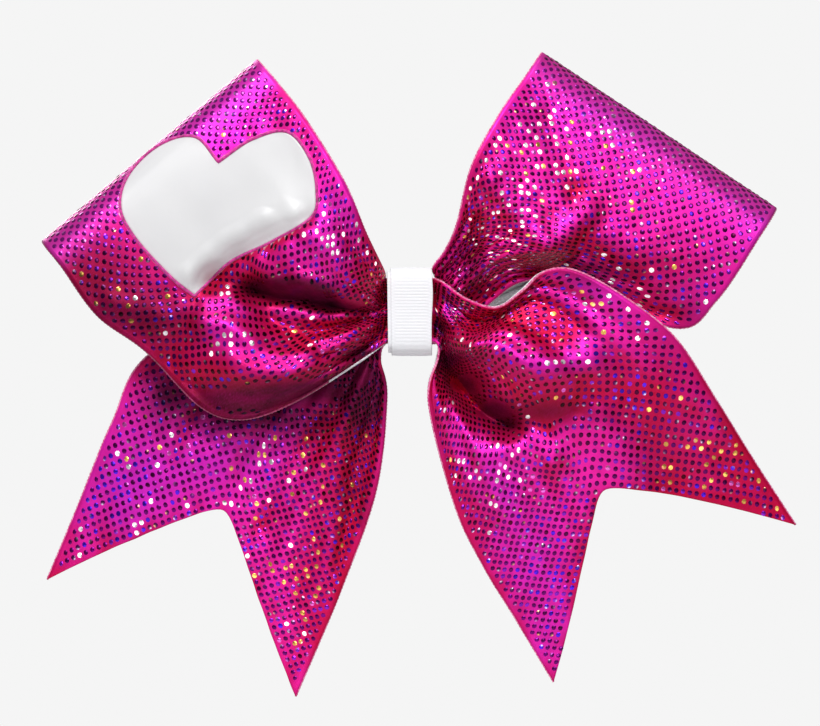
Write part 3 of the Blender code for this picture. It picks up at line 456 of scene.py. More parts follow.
def evenly_across(grid):
    """The same surface with each row's points at equal steps of its own length, so that the cloth's weave and
    dots run down into the folds instead of stretching over them."""
    step = np.linalg.norm(np.diff(grid, axis=1), axis=2)
    length = np.concatenate([np.zeros((len(grid), 1)), np.cumsum(step, axis=1)], axis=1)
    share = length / length[:, -1:]
    even = np.linspace(0, 1, grid.shape[1])
    at = np.stack([np.interp(even, row, np.arange(grid.shape[1])) for row in share])
    at = box_mean(at, 4)
    at[:, 0], at[:, -1] = 0, grid.shape[1] - 1
    rows = np.broadcast_to(np.arange(len(grid), dtype=float)[:, None], at.shape)
    return read_grid(grid, rows, at)


# ---- meshes ------------------------------------------------------------------------------------------------


def add_object(name, points, faces):
    """A mesh object at the origin, its points in millimetres made metres."""
    mesh = bpy.data.meshes.new(name)
    mesh.from_pydata((np.asarray(points, float).reshape(-1, 3) * MM).tolist(), [], faces)
    made = bpy.data.objects.new(name, mesh)
    bpy.context.scene.collection.objects.link(made)
    return made


def add_piece(name, points, faces, material):
    """A smooth-shaded piece of the bow."""
    piece = add_object(name, points, faces)
    piece.data.polygons.foreach_set("use_smooth", np.full(len(piece.data.polygons), True))
    piece.data.materials.append(material)
    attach(piece, "bow")
    return piece


def grid_faces(rows, columns, wrap_rows=False, wrap_columns=False):
    """The quads between neighbouring points of a grid, joined round where a direction wraps."""
    index = np.arange(rows * columns).reshape(rows, columns)
    if wrap_rows:
        index = np.vstack([index, index[:1]])
    if wrap_columns:
        index = np.hstack([index, index[:, :1]])
    a, b, c, d = index[:-1, :-1], index[1:, :-1], index[1:, 1:], index[:-1, 1:]
    return np.stack([a, b, c, d], axis=-1).reshape(-1, 4)


def set_uv(piece, uv):
    """Stores each point's place on the flat ribbon, in centimetres, as the map 'flat'."""
    mesh = piece.data
    layer = mesh.uv_layers.new(name="flat")
    loops = np.empty(len(mesh.loops), np.int32)
    mesh.loops.foreach_get("vertex_index", loops)
    layer.data.foreach_set("uv", uv.reshape(-1, 2)[loops].astype(np.float32).ravel())


def set_colours(piece, name, colours):
    """Stores a colour for each point."""
    attribute = piece.data.color_attributes.new(name, "FLOAT_COLOR", "POINT")
    rgba = np.ones((len(piece.data.vertices), 4), np.float32)
    rgba[:, :3] = colours.reshape(-1, 3)
    attribute.data.foreach_set("color", rgba.ravel())


def thicken(piece, thickness):
    """Gives an open sheet its thickness, half to each side."""
    solid = piece.modifiers.new("Thickness", "SOLIDIFY")
    solid.thickness = thickness * MM
    solid.offset = 0
    solid.use_even_offset = False
    solid.use_quality_normals = True


def tube(name, path, radius, side_points, material, closed=False):
    """A cord carried along a path: at each point a ring of its radius in the plane square to the path."""
    tangent = np.gradient(path, axis=0)
    if closed:
        tangent = np.roll(path, -1, axis=0) - np.roll(path, 1, axis=0)
    tangent /= np.linalg.norm(tangent, axis=1, keepdims=True)
    aside = np.cross(tangent, [0.0, 1.0, 0.02])
    aside /= np.maximum(np.linalg.norm(aside, axis=1, keepdims=True), 1e-9)
    upward = np.cross(aside, tangent)
    angle = np.linspace(0, 2 * math.pi, side_points, endpoint=False)
    ring = aside[:, None] * np.cos(angle)[None, :, None] + upward[:, None] * np.sin(angle)[None, :, None]
    points = path[:, None] + ring * np.broadcast_to(radius, len(path))[:, None, None]
    faces = grid_faces(len(path), side_points, wrap_rows=closed, wrap_columns=True).tolist()
    if not closed:
        ends = np.arange(side_points)
        faces += [ends.tolist(), ((len(path) - 1) * side_points + ends[::-1]).tolist()]
    piece = add_piece(name, points, faces, material)
    outward_faces(piece)
    return piece


def outward_faces(piece):
    """Turns every face outwards if the mesh encloses a negative volume."""
    mesh = piece.data
    mesh.calc_loop_triangles()
    corners = np.empty(len(mesh.loop_triangles) * 3, np.int32)
    mesh.loop_triangles.foreach_get("vertices", corners)
    points = np.empty(len(mesh.vertices) * 3, np.float32)
    mesh.vertices.foreach_get("co", points)
    a, b, c = np.moveaxis(points.reshape(-1, 3)[corners.reshape(-1, 3)].astype(float), 1, 0)
    if (a * np.cross(b, c)).sum() < 0:
        mesh.flip_normals()


# ---- materials ---------------------------------------------------------------------------------------------


class Finish:
    """A node material: its shader's own values, and links from procedural nodes."""

    def __init__(self, name, **values):
        self.material = bpy.data.materials.new(name)
        self.material.use_nodes = True
        self.tree = self.material.node_tree
        self.shader = next(n for n in self.tree.nodes if n.type == "BSDF_PRINCIPLED")
        for key, value in values.items():
            self.shader.inputs[key.replace("_", " ").title().replace("Ior", "IOR")].default_value = value

    def node(self, kind, links=(), **settings):
        node = self.tree.nodes.new("ShaderNode" + kind)
        for key, value in settings.items():
            if key in node.inputs:
                node.inputs[key].default_value = value
            else:
                setattr(node, key, value)
        for key, source in dict(links).items():
            self.tree.links.new(source, node.inputs[key])
        return node

    def flat_place(self, scale):
        """The place on the flat ribbon, scaled."""
        uv = self.node("UVMap", uv_map="flat")
        return self.node("Mapping", {"Vector": uv.outputs[0]}, Scale=scale).outputs[0]

    def solid_place(self, scale):
        """The place in the object, in metres, scaled."""
        place = self.node("TexCoord").outputs["Object"]
        return self.node("Mapping", {"Vector": place}, Scale=scale).outputs[0]

    def math(self, operation, a, b):
        node = self.node("Math", operation=operation)
        for socket, value in zip(node.inputs, (a, b)):
            if isinstance(value, (int, float)):
                socket.default_value = value
            else:
                self.tree.links.new(value, socket)
        return node.outputs[0]

    def mix(self, share, a, b, blend="MIX"):
        node = self.node("Mix", data_type="RGBA", blend_type=blend)
        for socket, value in zip((node.inputs[0], node.inputs[6], node.inputs[7]), (share, a, b)):
            if isinstance(value, (int, float, tuple)):
                socket.default_value = value if isinstance(value, (int, float)) else (*value, 1)
            else:
                self.tree.links.new(value, socket)
        return node.outputs[2]

    def spread(self, value, low, high, a, b):
        node = self.node("MapRange", {"Value": value})
        for key, number in zip(("From Min", "From Max", "To Min", "To Max"), (low, high, a, b)):
            node.inputs[key].default_value = number
        return node.outputs[0]

    def bump(self, height, strength, distance, under=None):
        node = self.node("Bump", {"Height": height}, Strength=strength, Distance=distance)
        if under is not None:
            self.tree.links.new(under, node.inputs["Normal"])
        return node.outputs[0]

    def to(self, key, source):
        self.tree.links.new(source, self.shader.inputs[key])


def dotted_cloth():
    """The ribbon's face: a stretched lame knit, fine ribs along it, its tint with painted light and shade
    stored point by point.
    """
    f = Finish("magenta_lame", roughness=0.40, metallic=0.40, sheen_weight=0.06, sheen_roughness=0.35)
    f.shader.inputs["Sheen Tint"].default_value = (1.0, 0.15, 0.6, 1)
    f.shader.inputs["Specular IOR Level"].default_value = 0.12
    tint = f.node("Attribute", attribute_name="tint").outputs["Color"]
    mottle = f.node("TexNoise", {"Vector": f.flat_place((2.2, 2.2, 1))}, Scale=1.0, Detail=4.0)
    streak = f.node("TexNoise", {"Vector": f.flat_place((60, 9, 1))}, Scale=1.0, Detail=2.0)
    dull = f.mix(f.spread(mottle.outputs[0], 0.35, 0.7, 0.0, 0.22), tint, (0.42, 0.004, 0.10))
    f.to("Base Color", f.mix(f.spread(streak.outputs[0], 0.4, 0.75, 0.0, 0.12), dull, (0.95, 0.03, 0.42)))
    f.to("Roughness", f.spread(streak.outputs[0], 0.3, 0.7, 0.50, 0.34))
    place = f.flat_place((1, 1, 1))
    ribs = f.node("TexWave", {"Vector": place}, Scale=6.5, Distortion=0.4, bands_direction="Y")
    grain = f.node("TexNoise", {"Vector": f.flat_place((40, 40, 1))}, Scale=1.0, Detail=3.0)
    f.to("Normal", f.bump(grain.outputs[0], 0.25, 0.00012, f.bump(ribs.outputs[0], 0.2, 0.00008)))
    return f.material


def foil_dots():
    """The round foil dots: mirror-like film, each dot's colour and painted glints stored on it, slightly
    crazed; the bright ones glow as a painted sparkle.
    """
    f = Finish("foil_dots", roughness=0.2, metallic=0.9, coat_weight=0.04, coat_roughness=0.08)
    foil = f.node("Attribute", attribute_name="foil").outputs["Color"]
    speck = f.node("TexNoise", {"Vector": f.solid_place((1, 1, 1))}, Scale=2600.0, Detail=2.0)
    f.to("Base Color", f.mix(f.spread(speck.outputs[0], 0.45, 0.8, 0.0, 0.35), foil, (0.03, 0.0, 0.02)))
    # Painted sparkle: each dot glows in its stored colour, the more the brighter that colour is, though it is
    # no lamp.
    f.to("Emission Color", foil)
    bright = f.node("RGBToBW", {"Color": foil})
    f.to("Emission Strength", f.spread(bright.outputs[0], 0.5, 1.6, 0.0, 0.6))
    f.to("Roughness", f.spread(speck.outputs[0], 0.3, 0.8, 0.14, 0.36))
    f.to("Normal", f.bump(speck.outputs[0], 0.2, 0.0001))
    return f.material


def grosgrain(name, colour, across):
    """Ribbed ribbon: fine ribs square to its length, with a woven grain."""
    f = Finish(name, roughness=0.72, sheen_weight=0.3)
    ribs = f.node("TexWave", {"Vector": f.flat_place((1, 1, 1))}, Scale=3.78, bands_direction="X")
    grain = f.node("TexNoise", {"Vector": f.flat_place((25, 60, 1))}, Scale=1.0, Detail=3.0)
    shade = f.mix(f.spread(ribs.outputs[0], 0.0, 1.0, 0.22, 0.0), colour, tuple(0.72 * c for c in colour))
    f.to("Base Color", f.mix(f.spread(grain.outputs[0], 0.4, 0.7, 0.0, 0.12), shade, (0.62, 0.63, 0.68)))
    normal = f.bump(grain.outputs[0], 0.35, 0.00008)
    f.to("Normal", f.bump(ribs.outputs[0], 0.5 * across, 0.0002, normal) if across else normal)
    f.to("Roughness", f.spread(grain.outputs[0], 0.3, 0.7, 0.66, 0.82))
    return f.material


def satin_panel():
    """The heart: smooth white satin with a very fine grain."""
    f = Finish("white_satin", roughness=0.38, sheen_weight=0.15)
    grain = f.node("TexNoise", {"Vector": f.solid_place((900, 900, 900))}, Scale=1.0, Detail=2.0)
    cloud = f.node("TexNoise", {"Vector": f.solid_place((60, 60, 60))}, Scale=1.0, Detail=2.0)
    cloudy = f.spread(cloud.outputs[0], 0.35, 0.75, 0.0, 0.3)
    f.to("Base Color", f.mix(cloudy, (0.70, 0.70, 0.71), (0.62, 0.62, 0.64)))
    f.to("Roughness", f.spread(grain.outputs[0], 0.3, 0.7, 0.34, 0.44))
    f.to("Normal", f.bump(grain.outputs[0], 0.12, 0.00005))
    return f.material


def yarn(name, colour, light):
    """Twisted selvage yarn, lighter on its crowns."""
    f = Finish(name, roughness=0.6, sheen_weight=0.4)
    twist = f.node("TexNoise", {"Vector": f.solid_place((1200, 1200, 1200))}, Scale=1.0, Detail=2.0)
    f.to("Base Color", f.mix(f.spread(twist.outputs[0], 0.35, 0.65, 0.0, 1.0), colour, light))
    f.to("Normal", f.bump(twist.outputs[0], 0.4, 0.0001))
    return f.material


def steel(name, colour, roughness, scale):
    """Plated sheet steel: brushed along the clip, with faint scuffs and cloudy dulling."""
    f = Finish(name, roughness=roughness, metallic=1.0)
    brushed = f.node("TexNoise", {"Vector": f.solid_place(scale)}, Scale=1.0, Detail=3.0)
    cloud = f.node("TexNoise", {"Vector": f.solid_place((140, 140, 140))}, Scale=1.0, Detail=3.0)
    dark = tuple(0.72 * c for c in colour)
    f.to("Base Color", f.mix(f.spread(cloud.outputs[0], 0.45, 0.75, 0.0, 0.7), colour, dark))
    f.to("Roughness", f.spread(brushed.outputs[0], 0.3, 0.7, roughness - 0.08, roughness + 0.14))
    f.to("Normal", f.bump(brushed.outputs[0], 0.12, 0.00005))
    return f.material


def moulded(name, colour, roughness, see_through):
    """Clear-ish plastic or glue: cloudy, with a soft surface."""
    f = Finish(name, roughness=roughness, transmission_weight=see_through, subsurface_weight=0.1)
    cloud = f.node("TexNoise", {"Vector": f.solid_place((300, 300, 300))}, Scale=1.0, Detail=2.0)
    dark = tuple(0.85 * c for c in colour)
    f.to("Base Color", f.mix(f.spread(cloud.outputs[0], 0.35, 0.7, 0.0, 1.0), colour, dark))
    f.to("Roughness", f.spread(cloud.outputs[0], 0.3, 0.7, roughness - 0.08, roughness + 0.1))
    f.to("Normal", f.bump(cloud.outputs[0], 0.15, 0.0002))
    return f.material


# ---- cloth, lining, dots and selvage -----------------------------------------------------------------------

# The lame's colours, with painted light and shade: MAGENTA as it looks lit square on, CRIMSON as its painted
# shade where it turns away or sinks, VIOLET its painted violet sheen, ROLL_VIOLET the painted sheen on the
# rolled folds.
MAGENTA = np.array([1.0, 0.018, 0.45])
CRIMSON = np.array([0.60, 0.002, 0.028])
VIOLET = np.array([0.62, 0.02, 0.62])
ROLL_VIOLET = np.array([0.66, 0.05, 0.56])

# Where a violet sheen is painted on the lame: x, z, half width, half height, strength.
VIOLET_SHEEN_AREAS = (
    (-76, 46, 34, 9, 0.75), (-60, 58, 20, 8, 0.7), (70, 52, 34, 8, 0.8), (-78, -48, 18, 18, 0.8),
    (33, -72, 12, 20, 0.6), (22, -48, 10, 16, 0.5), (-50, -42, 18, 8, 0.6), (12, 14, 6, 8, 0.5),
    (92, 22, 10, 10, 0.5), (40, -14, 16, 4, 0.55), (-20, 22, 9, 12, 0.5), (52, 6, 12, 6, 0.5),
    (-48, -4, 12, 7, 0.35), (40, -92, 8, 12, 0.5), (-50, 58, 14, 12, 0.5),
)
# Where crimson shade is painted on it, on parts that turn away from the light.
CRIMSON_SHADE_AREAS = (
    (-17, -46, 11, 34, 0.95), (-24, -88, 10, 18, 0.7), (68, -24, 10, 20, 0.9), (84, -42, 16, 8, 0.6),
    (-86, 8, 20, 17, 0.95), (-66, -4, 12, 10, 0.7), (-40, 10, 14, 5, 0.6), (-30, -7, 12, 3, 0.5),
    (39, -27, 15, 4.5, 0.95), (60, 12, 22, 6, 0.8), (-55, -16, 20, 6, 0.8), (6, -26, 4, 10, 0.7),
    (20, 5, 16, 4, 0.7), (17, 40, 7, 16, 0.6), (-30, 55, 6, 14, 0.5), (-12, 18, 5, 10, 0.6),
)
# Where the bow's own folds shade it.
SHADE_AREAS = (
    (-88, 8, 17, 16, 0.62), (-70, -2, 15, 9, 0.62), (-50, -23, 18, 5, 0.85), (-33, 5, 11, 3.2, 1.0),
    (-38, 7.2, 10, 2.6, 0.9), (-26, 5, 7, 3, 0.8), (-28, -21, 13, 4, 0.85),
    (-20, 1.2, 9, 2.2, 0.9), (-14, -19, 9, 7, 0.85), (-12, -24, 5, 10, 0.8), (-15, -58, 5, 26, 0.45),
    (-40, -30, 24, 5, 0.8), (-68, -22, 6, 10, 0.6), (9, -14, 4, 3, 0.85), (15, -20, 5, 4, 0.85),
    (22, -26.5, 6, 3.6, 0.85), (27, -31, 4, 2.4, 0.8), (38, -27, 13, 3.8, 0.72), (17, 14, 3, 8, 0.5),
    (48, 11, 12, 5, 0.55), (8, -4, 5, 1.6, 0.6), (5, -40, 4, 14, 0.4), (78, -2, 10, 8, 0.4),
    (15, -12, 8, 2, 0.5), (-13, -11, 8, 2, 0.6), (66, -36, 8, 14, 0.2),
)
# The near black of the painted shadow under the folds.
DEEP = np.array([0.03, 0.0, 0.006])

# Where the cloth turns too far under to show any dots: x, z, half width, half height.
PLAIN_AREAS = (
    (-33, 5.6, 11, 3.2), (-19, 1.6, 7, 1.8), (39, -27.5, 10, 2.4), (15, -20, 5, 3.4), (22, -27, 5, 2.8),
    (-46, -23.5, 16, 3.6), (-30, -22, 12, 3.4), (-13, -17, 3, 3),
)

# Where dots catch the light: x, z, half width, half height, share of dots, colour.
WHITE, GOLD, BLUE, ROSE = (2.0, 1.9, 2.0), (1.7, 0.95, 0.22), (0.13, 0.02, 1.0), (1.2, 0.2, 0.9)
SPARK_AREAS = (
    (-22, 20, 6, 4, 0.6, WHITE), (-49, -7, 5, 3, 0.5, WHITE), (-51, 6, 4, 3, 0.5, WHITE),
    (43.5, -13.2, 9, 1.0, 1.0, WHITE), (23, -10, 2.4, 1.0, 0.8, WHITE), (27, -38, 4, 1.2, 0.8, WHITE),
    (27, -45, 3, 1.4, 0.6, WHITE), (43, 44, 22, 15, 0.10, GOLD), (43, 44, 22, 15, 0.12, WHITE),
    (82, -43, 22, 9, 0.16, GOLD), (26, 28, 8, 12, 0.20, WHITE), (-79, -48, 13, 14, 0.30, BLUE),
    (-79, -48, 13, 14, 0.10, WHITE), (52, 8, 16, 6, 0.16, BLUE), (60, 5, 12, 8, 0.14, WHITE),
    (38, -74, 8, 14, 0.24, BLUE), (-35, -42, 14, 8, 0.12, GOLD), (-30, -72, 8, 22, 0.12, GOLD),
    (60, -20, 12, 12, 0.14, BLUE), (18, -50, 8, 10, 0.12, WHITE), (-20, 26, 8, 18, 0.12, BLUE),
    (70, 30, 22, 18, 0.07, BLUE), (-80, 6, 16, 12, 0.07, GOLD), (-45, -44, 10, 8, 0.14, WHITE),
)


def bell(x, z, area):
    """A bell of the distance from an area's middle, in its half width and half height."""
    return np.exp(-(((x - area[0]) / area[2]) ** 2) - ((z - area[1]) / area[3]) ** 2)


def shaded(points):
    """How far the folds shade each point of the front, at most all but a twentieth."""
    shade = np.clip(sum(bell(points[..., 0], points[..., 2], a) * a[4] for a in SHADE_AREAS), 0, 0.95)
    return shade * (points[..., 1] < SHADED_Y)


def lame_tint_and_shade(points, out):
    """The lame's tint with painted light and shade: magenta where it faces square on and on crests, crimson as
    painted shade where it slopes or sinks, violet as a painted sheen in areas, near black as painted shadow
    under the folds.
    """
    flat = np.clip((np.abs(out[..., 1]) - 0.70) / 0.28, 0, 1)
    sunk = points[..., 1] - box_mean(points[..., 1], 60)
    hollow = np.clip(sunk / 0.8, -0.6, 1)
    share = np.clip(flat**1.5 * (1 - 0.9 * np.clip(hollow, 0, 1)) + 0.3 * np.clip(-hollow, 0, 1), 0, 1)
    crimson = sum(bell(points[..., 0], points[..., 2], a) * a[4] for a in CRIMSON_SHADE_AREAS)
    share = share**1.3 * np.clip(1 - crimson, 0, 1)
    colour = CRIMSON + (MAGENTA - CRIMSON) * share[..., None]
    violet = np.clip(sum(bell(points[..., 0], points[..., 2], a) * a[4] for a in VIOLET_SHEEN_AREAS), 0, 0.9)
    colour = colour + (VIOLET - colour) * (violet * (0.35 + 0.65 * share))[..., None]
    return colour + (DEEP - colour) * shaded(points)[..., None]


def dot_colours(points, share_out, smooth, rng):
    """Each dot's foil with painted light and shade: dark maroon to purple, the more purple the larger its lit
    share, or now and then blue, rose, gold or white painted glints, more so in the areas where dots catch the
    light, and darker in the painted shadow under the folds. On the smooth roll they are as light as the
    cloth's painted sheen."""
    count = len(points)
    purple = np.clip(share_out + rng.normal(0, 0.22, count), 0, 1)[:, None]
    colour = np.array([0.075, 0.0, 0.010]) * (1 - purple) + np.array([0.22, 0.004, 0.25]) * purple
    draw = rng.uniform(0, 1, count)
    for low, high, foil in (
        (0.0, 0.03, BLUE), (0.03, 0.038, GOLD), (0.038, 0.046, WHITE), (0.046, 0.056, ROSE),
        (0.056, 0.16, (0.30, 0.02, 0.62)),
    ):
        colour[(draw >= low) & (draw < high)] = foil
    for area in SPARK_AREAS:
        hit = rng.uniform(0, 1, count) < bell(points[:, 0], points[:, 2], area) * area[4]
        colour[hit] = np.array(area[5]) * rng.uniform(0.45, 1.0, (hit.sum(), 1))
    colour *= rng.uniform(0.75, 1.15, (count, 1)) * (1 - 0.93 * shaded(points)[:, None])
    soft = smooth[:, None]
    return colour * (1 - soft) + np.array([0.42, 0.03, 0.42]) * soft


def glinting(colour, each, sides, shade, rng):
    """The colour of every point of every dot. Some dots get a painted highlight, a crescent of light on one
    side: white on most, gold or pink on a few. Bright dots keep a painted darker side."""
    count = len(colour)
    points = np.repeat(colour[:, None], each, axis=1)
    turn = rng.uniform(0, 2 * math.pi, count)
    around = np.linspace(0, 2 * math.pi, sides, endpoint=False)
    facing = np.clip(np.cos(around[None] - turn[:, None]), 0, 1) ** 4
    facing = np.concatenate([np.full((count, 1), 0.05), facing, facing * 0.8], axis=1)
    draw = rng.uniform(0, 1, count)
    glint = np.zeros((count, 3))
    for low, high, light in ((0, 0.13, (1.3, 1.1, 1.4)), (0.13, 0.17, GOLD), (0.17, 0.24, (1.0, 0.3, 0.9))):
        glint[(draw >= low) & (draw < high)] = light
    glint *= (rng.uniform(0.25, 1.0, count) * (1 - shade))[:, None]
    points += facing[..., None] * glint[:, None]
    bright = colour.max(axis=1) > 0.9
    points[bright] *= (0.35 + 0.65 * np.clip(1.15 - facing[bright] * 1.3, 0, 1))[..., None]
    return points


class Ribbon:
    """One section of the ribbon: its middle surface, which way its face looks, and its flat size."""

    def __init__(self, name, grid, outward, length_at, notched):
        self.name, self.grid, self.notched = name, grid, notched
        self.out = normals(grid) * outward
        self.outward = outward
        self.length_at = length_at  # length along the flat ribbon at each row
        self.length = length_at[-1]
        self.face = grid + self.out * LIFT
        self.lining = grid - self.out * LIFT

    def flat(self):
        """Each point's place on the flat ribbon, in centimetres."""
        rows, columns = self.grid.shape[:2]
        u = np.linspace(0, 1, columns)
        along = self.length_at[:, None] * (notch(u)[None, :] if self.notched else np.ones(columns)[None, :])
        across = np.broadcast_to(u * RIBBON_WIDTH, (rows, columns))
        return np.stack([along, across], axis=-1) / 10

    def row_at(self, along, u):
        """The row at a length along the flat ribbon."""
        if self.notched:
            along = along / notch_at(u)
        return np.interp(along, self.length_at, np.arange(len(self.length_at)))


def notch_at(u):
    """The notch read between 2001 even places, at any place across."""
    return np.interp(u, np.linspace(0, 1, 2001), notch(np.linspace(0, 1, 2001)))


def lengths(grid):
    """The length along the ribbon at each row: the mean, over the lines across, of the running length."""
    step = np.linalg.norm(np.diff(grid, axis=0), axis=2)
    return np.concatenate([[0], np.cumsum(step.mean(axis=1))])


def on_roll(row):
    """1 on the front half of the rolled fold, which is smooth and carries a painted light violet sheen, fading
    to 0 on either side.
    """
    rows = CLOTH_ROWS[1]
    return np.clip(1.6 - np.abs(row - (CLOTH_ROWS[0] + rows * 0.30)) / (rows * 0.24), 0, 1) * 0.85


def make_layers(ribbon, cloth, lining):
    """The face fabric and its lining, each a thin sheet to its own side of the ribbon's middle surface."""
    rows, columns = ribbon.grid.shape[:2]
    faces = grid_faces(rows, columns)
    if ribbon.outward < 0:
        faces = faces[:, ::-1]
    made = []
    for part, points, material, slot in (
        ("cloth", ribbon.face, cloth, "dotted_fabric"),
        ("lining", ribbon.lining, lining, "white_grosgrain"),
    ):
        piece = add_piece(f"{ribbon.name}_{part}", points, faces.tolist(), material)
        set_uv(piece, ribbon.flat())
        thicken(piece, CLOTH)
        made.append(piece)
    tint = lame_tint_and_shade(ribbon.grid, ribbon.out)
    if not ribbon.notched:
        # Painted sheen: the front of each rolled fold is lightened towards violet.
        light = on_roll(np.arange(rows))[:, None, None] * 0.7
        tint = tint + (ROLL_VIOLET - tint) * light
    set_colours(made[0], "tint", tint)
    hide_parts(f"{ribbon.name}_fabric")
    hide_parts(f"{ribbon.name}_backing")
    return made


def make_dots(ribbon, material, seed, left_out=None, smooth_rows=None):
    """Foil dots on a square lattice turned 45 degrees to the ribbon: each is a low dome of two rings laid in
    the cloth's own plane, with a slight tilt of its own."""
    rng = np.random.default_rng(seed)
    reach = int((ribbon.length + RIBBON_WIDTH) / DOT_PITCH) + 2
    a, b = np.meshgrid(np.arange(-reach, reach) * DOT_PITCH, np.arange(-reach, reach) * DOT_PITCH)
    along, across = ((a + b) / math.sqrt(2)).ravel(), ((a - b) / math.sqrt(2) + RIBBON_WIDTH / 2).ravel()
    inside = (across > DOT_MARGIN) & (across < RIBBON_WIDTH - DOT_MARGIN)
    inside &= (along > DOTLESS_START) & (along < ribbon.length - DOT_MARGIN)
    along, across = along[inside], across[inside]
    u = across / RIBBON_WIDTH
    if ribbon.notched:
        keep = along < ribbon.length * notch_at(u) - 0.9
    else:
        keep = along < ribbon.length - DOTLESS_START
    along, across, u = along[keep], across[keep], u[keep]
    row, column = ribbon.row_at(along, u), u * (ribbon.grid.shape[1] - 1)
    surface = ribbon.face + ribbon.out * (CLOTH / 2 + 0.015)
    centre = read_grid(surface, row, column)
    keep = sum(bell(centre[:, 0], centre[:, 2], a) for a in PLAIN_AREAS) < 0.5
    keep |= centre[:, 1] > LOOP_BACK_Y - 6 if ribbon.name.endswith("loop") else False
    keep &= np.abs(centre[:, 0]) > UNDER_BAND_X
    if left_out is not None:
        keep &= ~left_out(centre, row)
    along, u, row, column, centre = along[keep], u[keep], row[keep], column[keep], centre[keep]
    step = 0.5
    ahead = read_grid(surface, ribbon.row_at(along + step, u), column) - read_grid(
        surface, ribbon.row_at(along - step, u), column
    )
    columns_per_mm = (ribbon.grid.shape[1] - 1) / RIBBON_WIDTH
    du = step / RIBBON_WIDTH
    aside = read_grid(surface, ribbon.row_at(along, u + du), column + step * columns_per_mm) - read_grid(
        surface, ribbon.row_at(along, u - du), column - step * columns_per_mm
    )
    out = read_grid(ribbon.out, row, column)
    out /= np.linalg.norm(out, axis=1, keepdims=True)
    ahead, aside = ahead / (2 * step), aside / (2 * step)
    wide = np.linalg.norm(aside, axis=1)
    aside *= (np.clip(wide, 0.5, 1.0) / np.maximum(wide, 1e-6))[:, None]
    long = np.linalg.norm(ahead, axis=1)
    ahead *= (np.clip(long, 0.6, 1.0) / np.maximum(long, 1e-6))[:, None]
    angle = np.linspace(0, 2 * math.pi, DOT_SIDES, endpoint=False)
    tilt = rng.normal(0, 0.07, (len(centre), 2))
    points = [centre[:, None] + out[:, None] * DOT_RINGS[0][1]]
    for radius, height in DOT_RINGS[1:]:
        x, y = radius * DOT_RADIUS * np.cos(angle), radius * DOT_RADIUS * np.sin(angle)
        lean = tilt[:, :1] * x + tilt[:, 1:] * y
        points.append(
            centre[:, None]
            + ahead[:, None] * x[None, :, None]
            + aside[:, None] * y[None, :, None]
            + out[:, None] * (height + lean)[..., None]
        )
    points = np.concatenate(points, axis=1)
    each = points.shape[1]
    j, k = np.arange(DOT_SIDES), (np.arange(DOT_SIDES) + 1) % DOT_SIDES
    fan = np.stack([np.zeros(DOT_SIDES, int), 1 + j, 1 + k], axis=1)
    skirt = np.stack([1 + j, 1 + DOT_SIDES + j, 1 + DOT_SIDES + k, 1 + k], axis=1)
    if ribbon.outward < 0:
        fan, skirt = fan[:, ::-1], skirt[:, ::-1]
    start = (np.arange(len(centre)) * each)[:, None, None]
    faces = (fan[None] + start).reshape(-1, 3).tolist() + (skirt[None] + start).reshape(-1, 4).tolist()
    piece = add_piece(f"{ribbon.name}_dots", points, faces, material)
    smooth = np.zeros(len(centre)) if smooth_rows is None else smooth_rows(row)
    # Painted light: the more a dot faces the front, the more purple it is painted.
    flat = np.clip((np.abs(out[:, 1]) - 0.60) / 0.38, 0, 1)
    colour = dot_colours(centre, flat**2 * 0.7, smooth, rng)
    # Painted shade: dots on steep slopes are darkened towards crimson.
    steep = np.clip((0.62 - np.abs(out[:, 1])) / 0.25, 0, 0.9)[:, None]
    colour = colour * (1 - steep) + np.array([0.16, 0.0, 0.02]) * steep
    set_colours(piece, "foil", glinting(colour, each, DOT_SIDES, shaded(centre), rng))
    return piece


def make_selvage(ribbon, material, name, column, rows=slice(None)):
    """The woven edge: a yarn laid along one side of the ribbon, swelling into a nub every millimetre."""
    line = (ribbon.grid[:, column] + ribbon.out[:, column] * 0.12)[rows]
    length = np.linalg.norm(np.diff(line, axis=0), axis=1).sum()
    path = even_steps(line, int(length * 4))
    swell = np.abs(np.sin(math.pi * np.linspace(0, length, len(path))))
    return tube(
        f"{ribbon.name}_{name}", path, SELVAGE_RADIUS + SELVAGE_NUB * swell, 6, material
    )


# ---- the heart ---------------------------------------------------------------------------------------------


def heart_outline(count, grow=0.0):
    """The heart's edge in (x, z): two smooth half outlines from the cusp to the point below, joined."""
    left = [
        (0, 12), (-6.5, 19), (-16, 17), (-24, 9.5), (-26.5, 0.5), (-22.5, -8), (-13, -18.5),
        (-6.5, -23.8),
    ]
    right = [
        (0, 12), (9, 18), (18.5, 20), (24.5, 13), (26.5, 4), (25, -3), (14, -9.5), (2.5, -15),
        (-6.5, -23.8),
    ]
    half = count // 2
    outline = np.vstack([smooth_path(left, half + 1)[:-1], smooth_path(right, count - half + 1)[:0:-1]])
    edge = np.roll(outline, -1, axis=0) - np.roll(outline, 1, axis=0)
    edge /= np.linalg.norm(edge, axis=1, keepdims=True)
    outline = outline - np.stack([-edge[:, 1], edge[:, 0]], axis=1) * grow
    middle = LEFT_LOOP.at(0.694, -0.093, 0)
    return outline + [middle[0], middle[2]]


def inside_outline(x, z, outline):
    """Whether points lie inside a closed outline: an odd number of its sides cross the ray towards +x."""
    x0, z0 = outline.T
    x1, z1 = np.roll(outline, -1, axis=0).T
    spans = (z0[None] > z[:, None]) != (z1[None] > z[:, None])
    cross = x0 + (z[:, None] - z0) / np.where(z1 == z0, 1e-9, z1 - z0) * (x1 - x0)
    return (spans & (x[:, None] < cross)).sum(axis=1) % 2 == 1


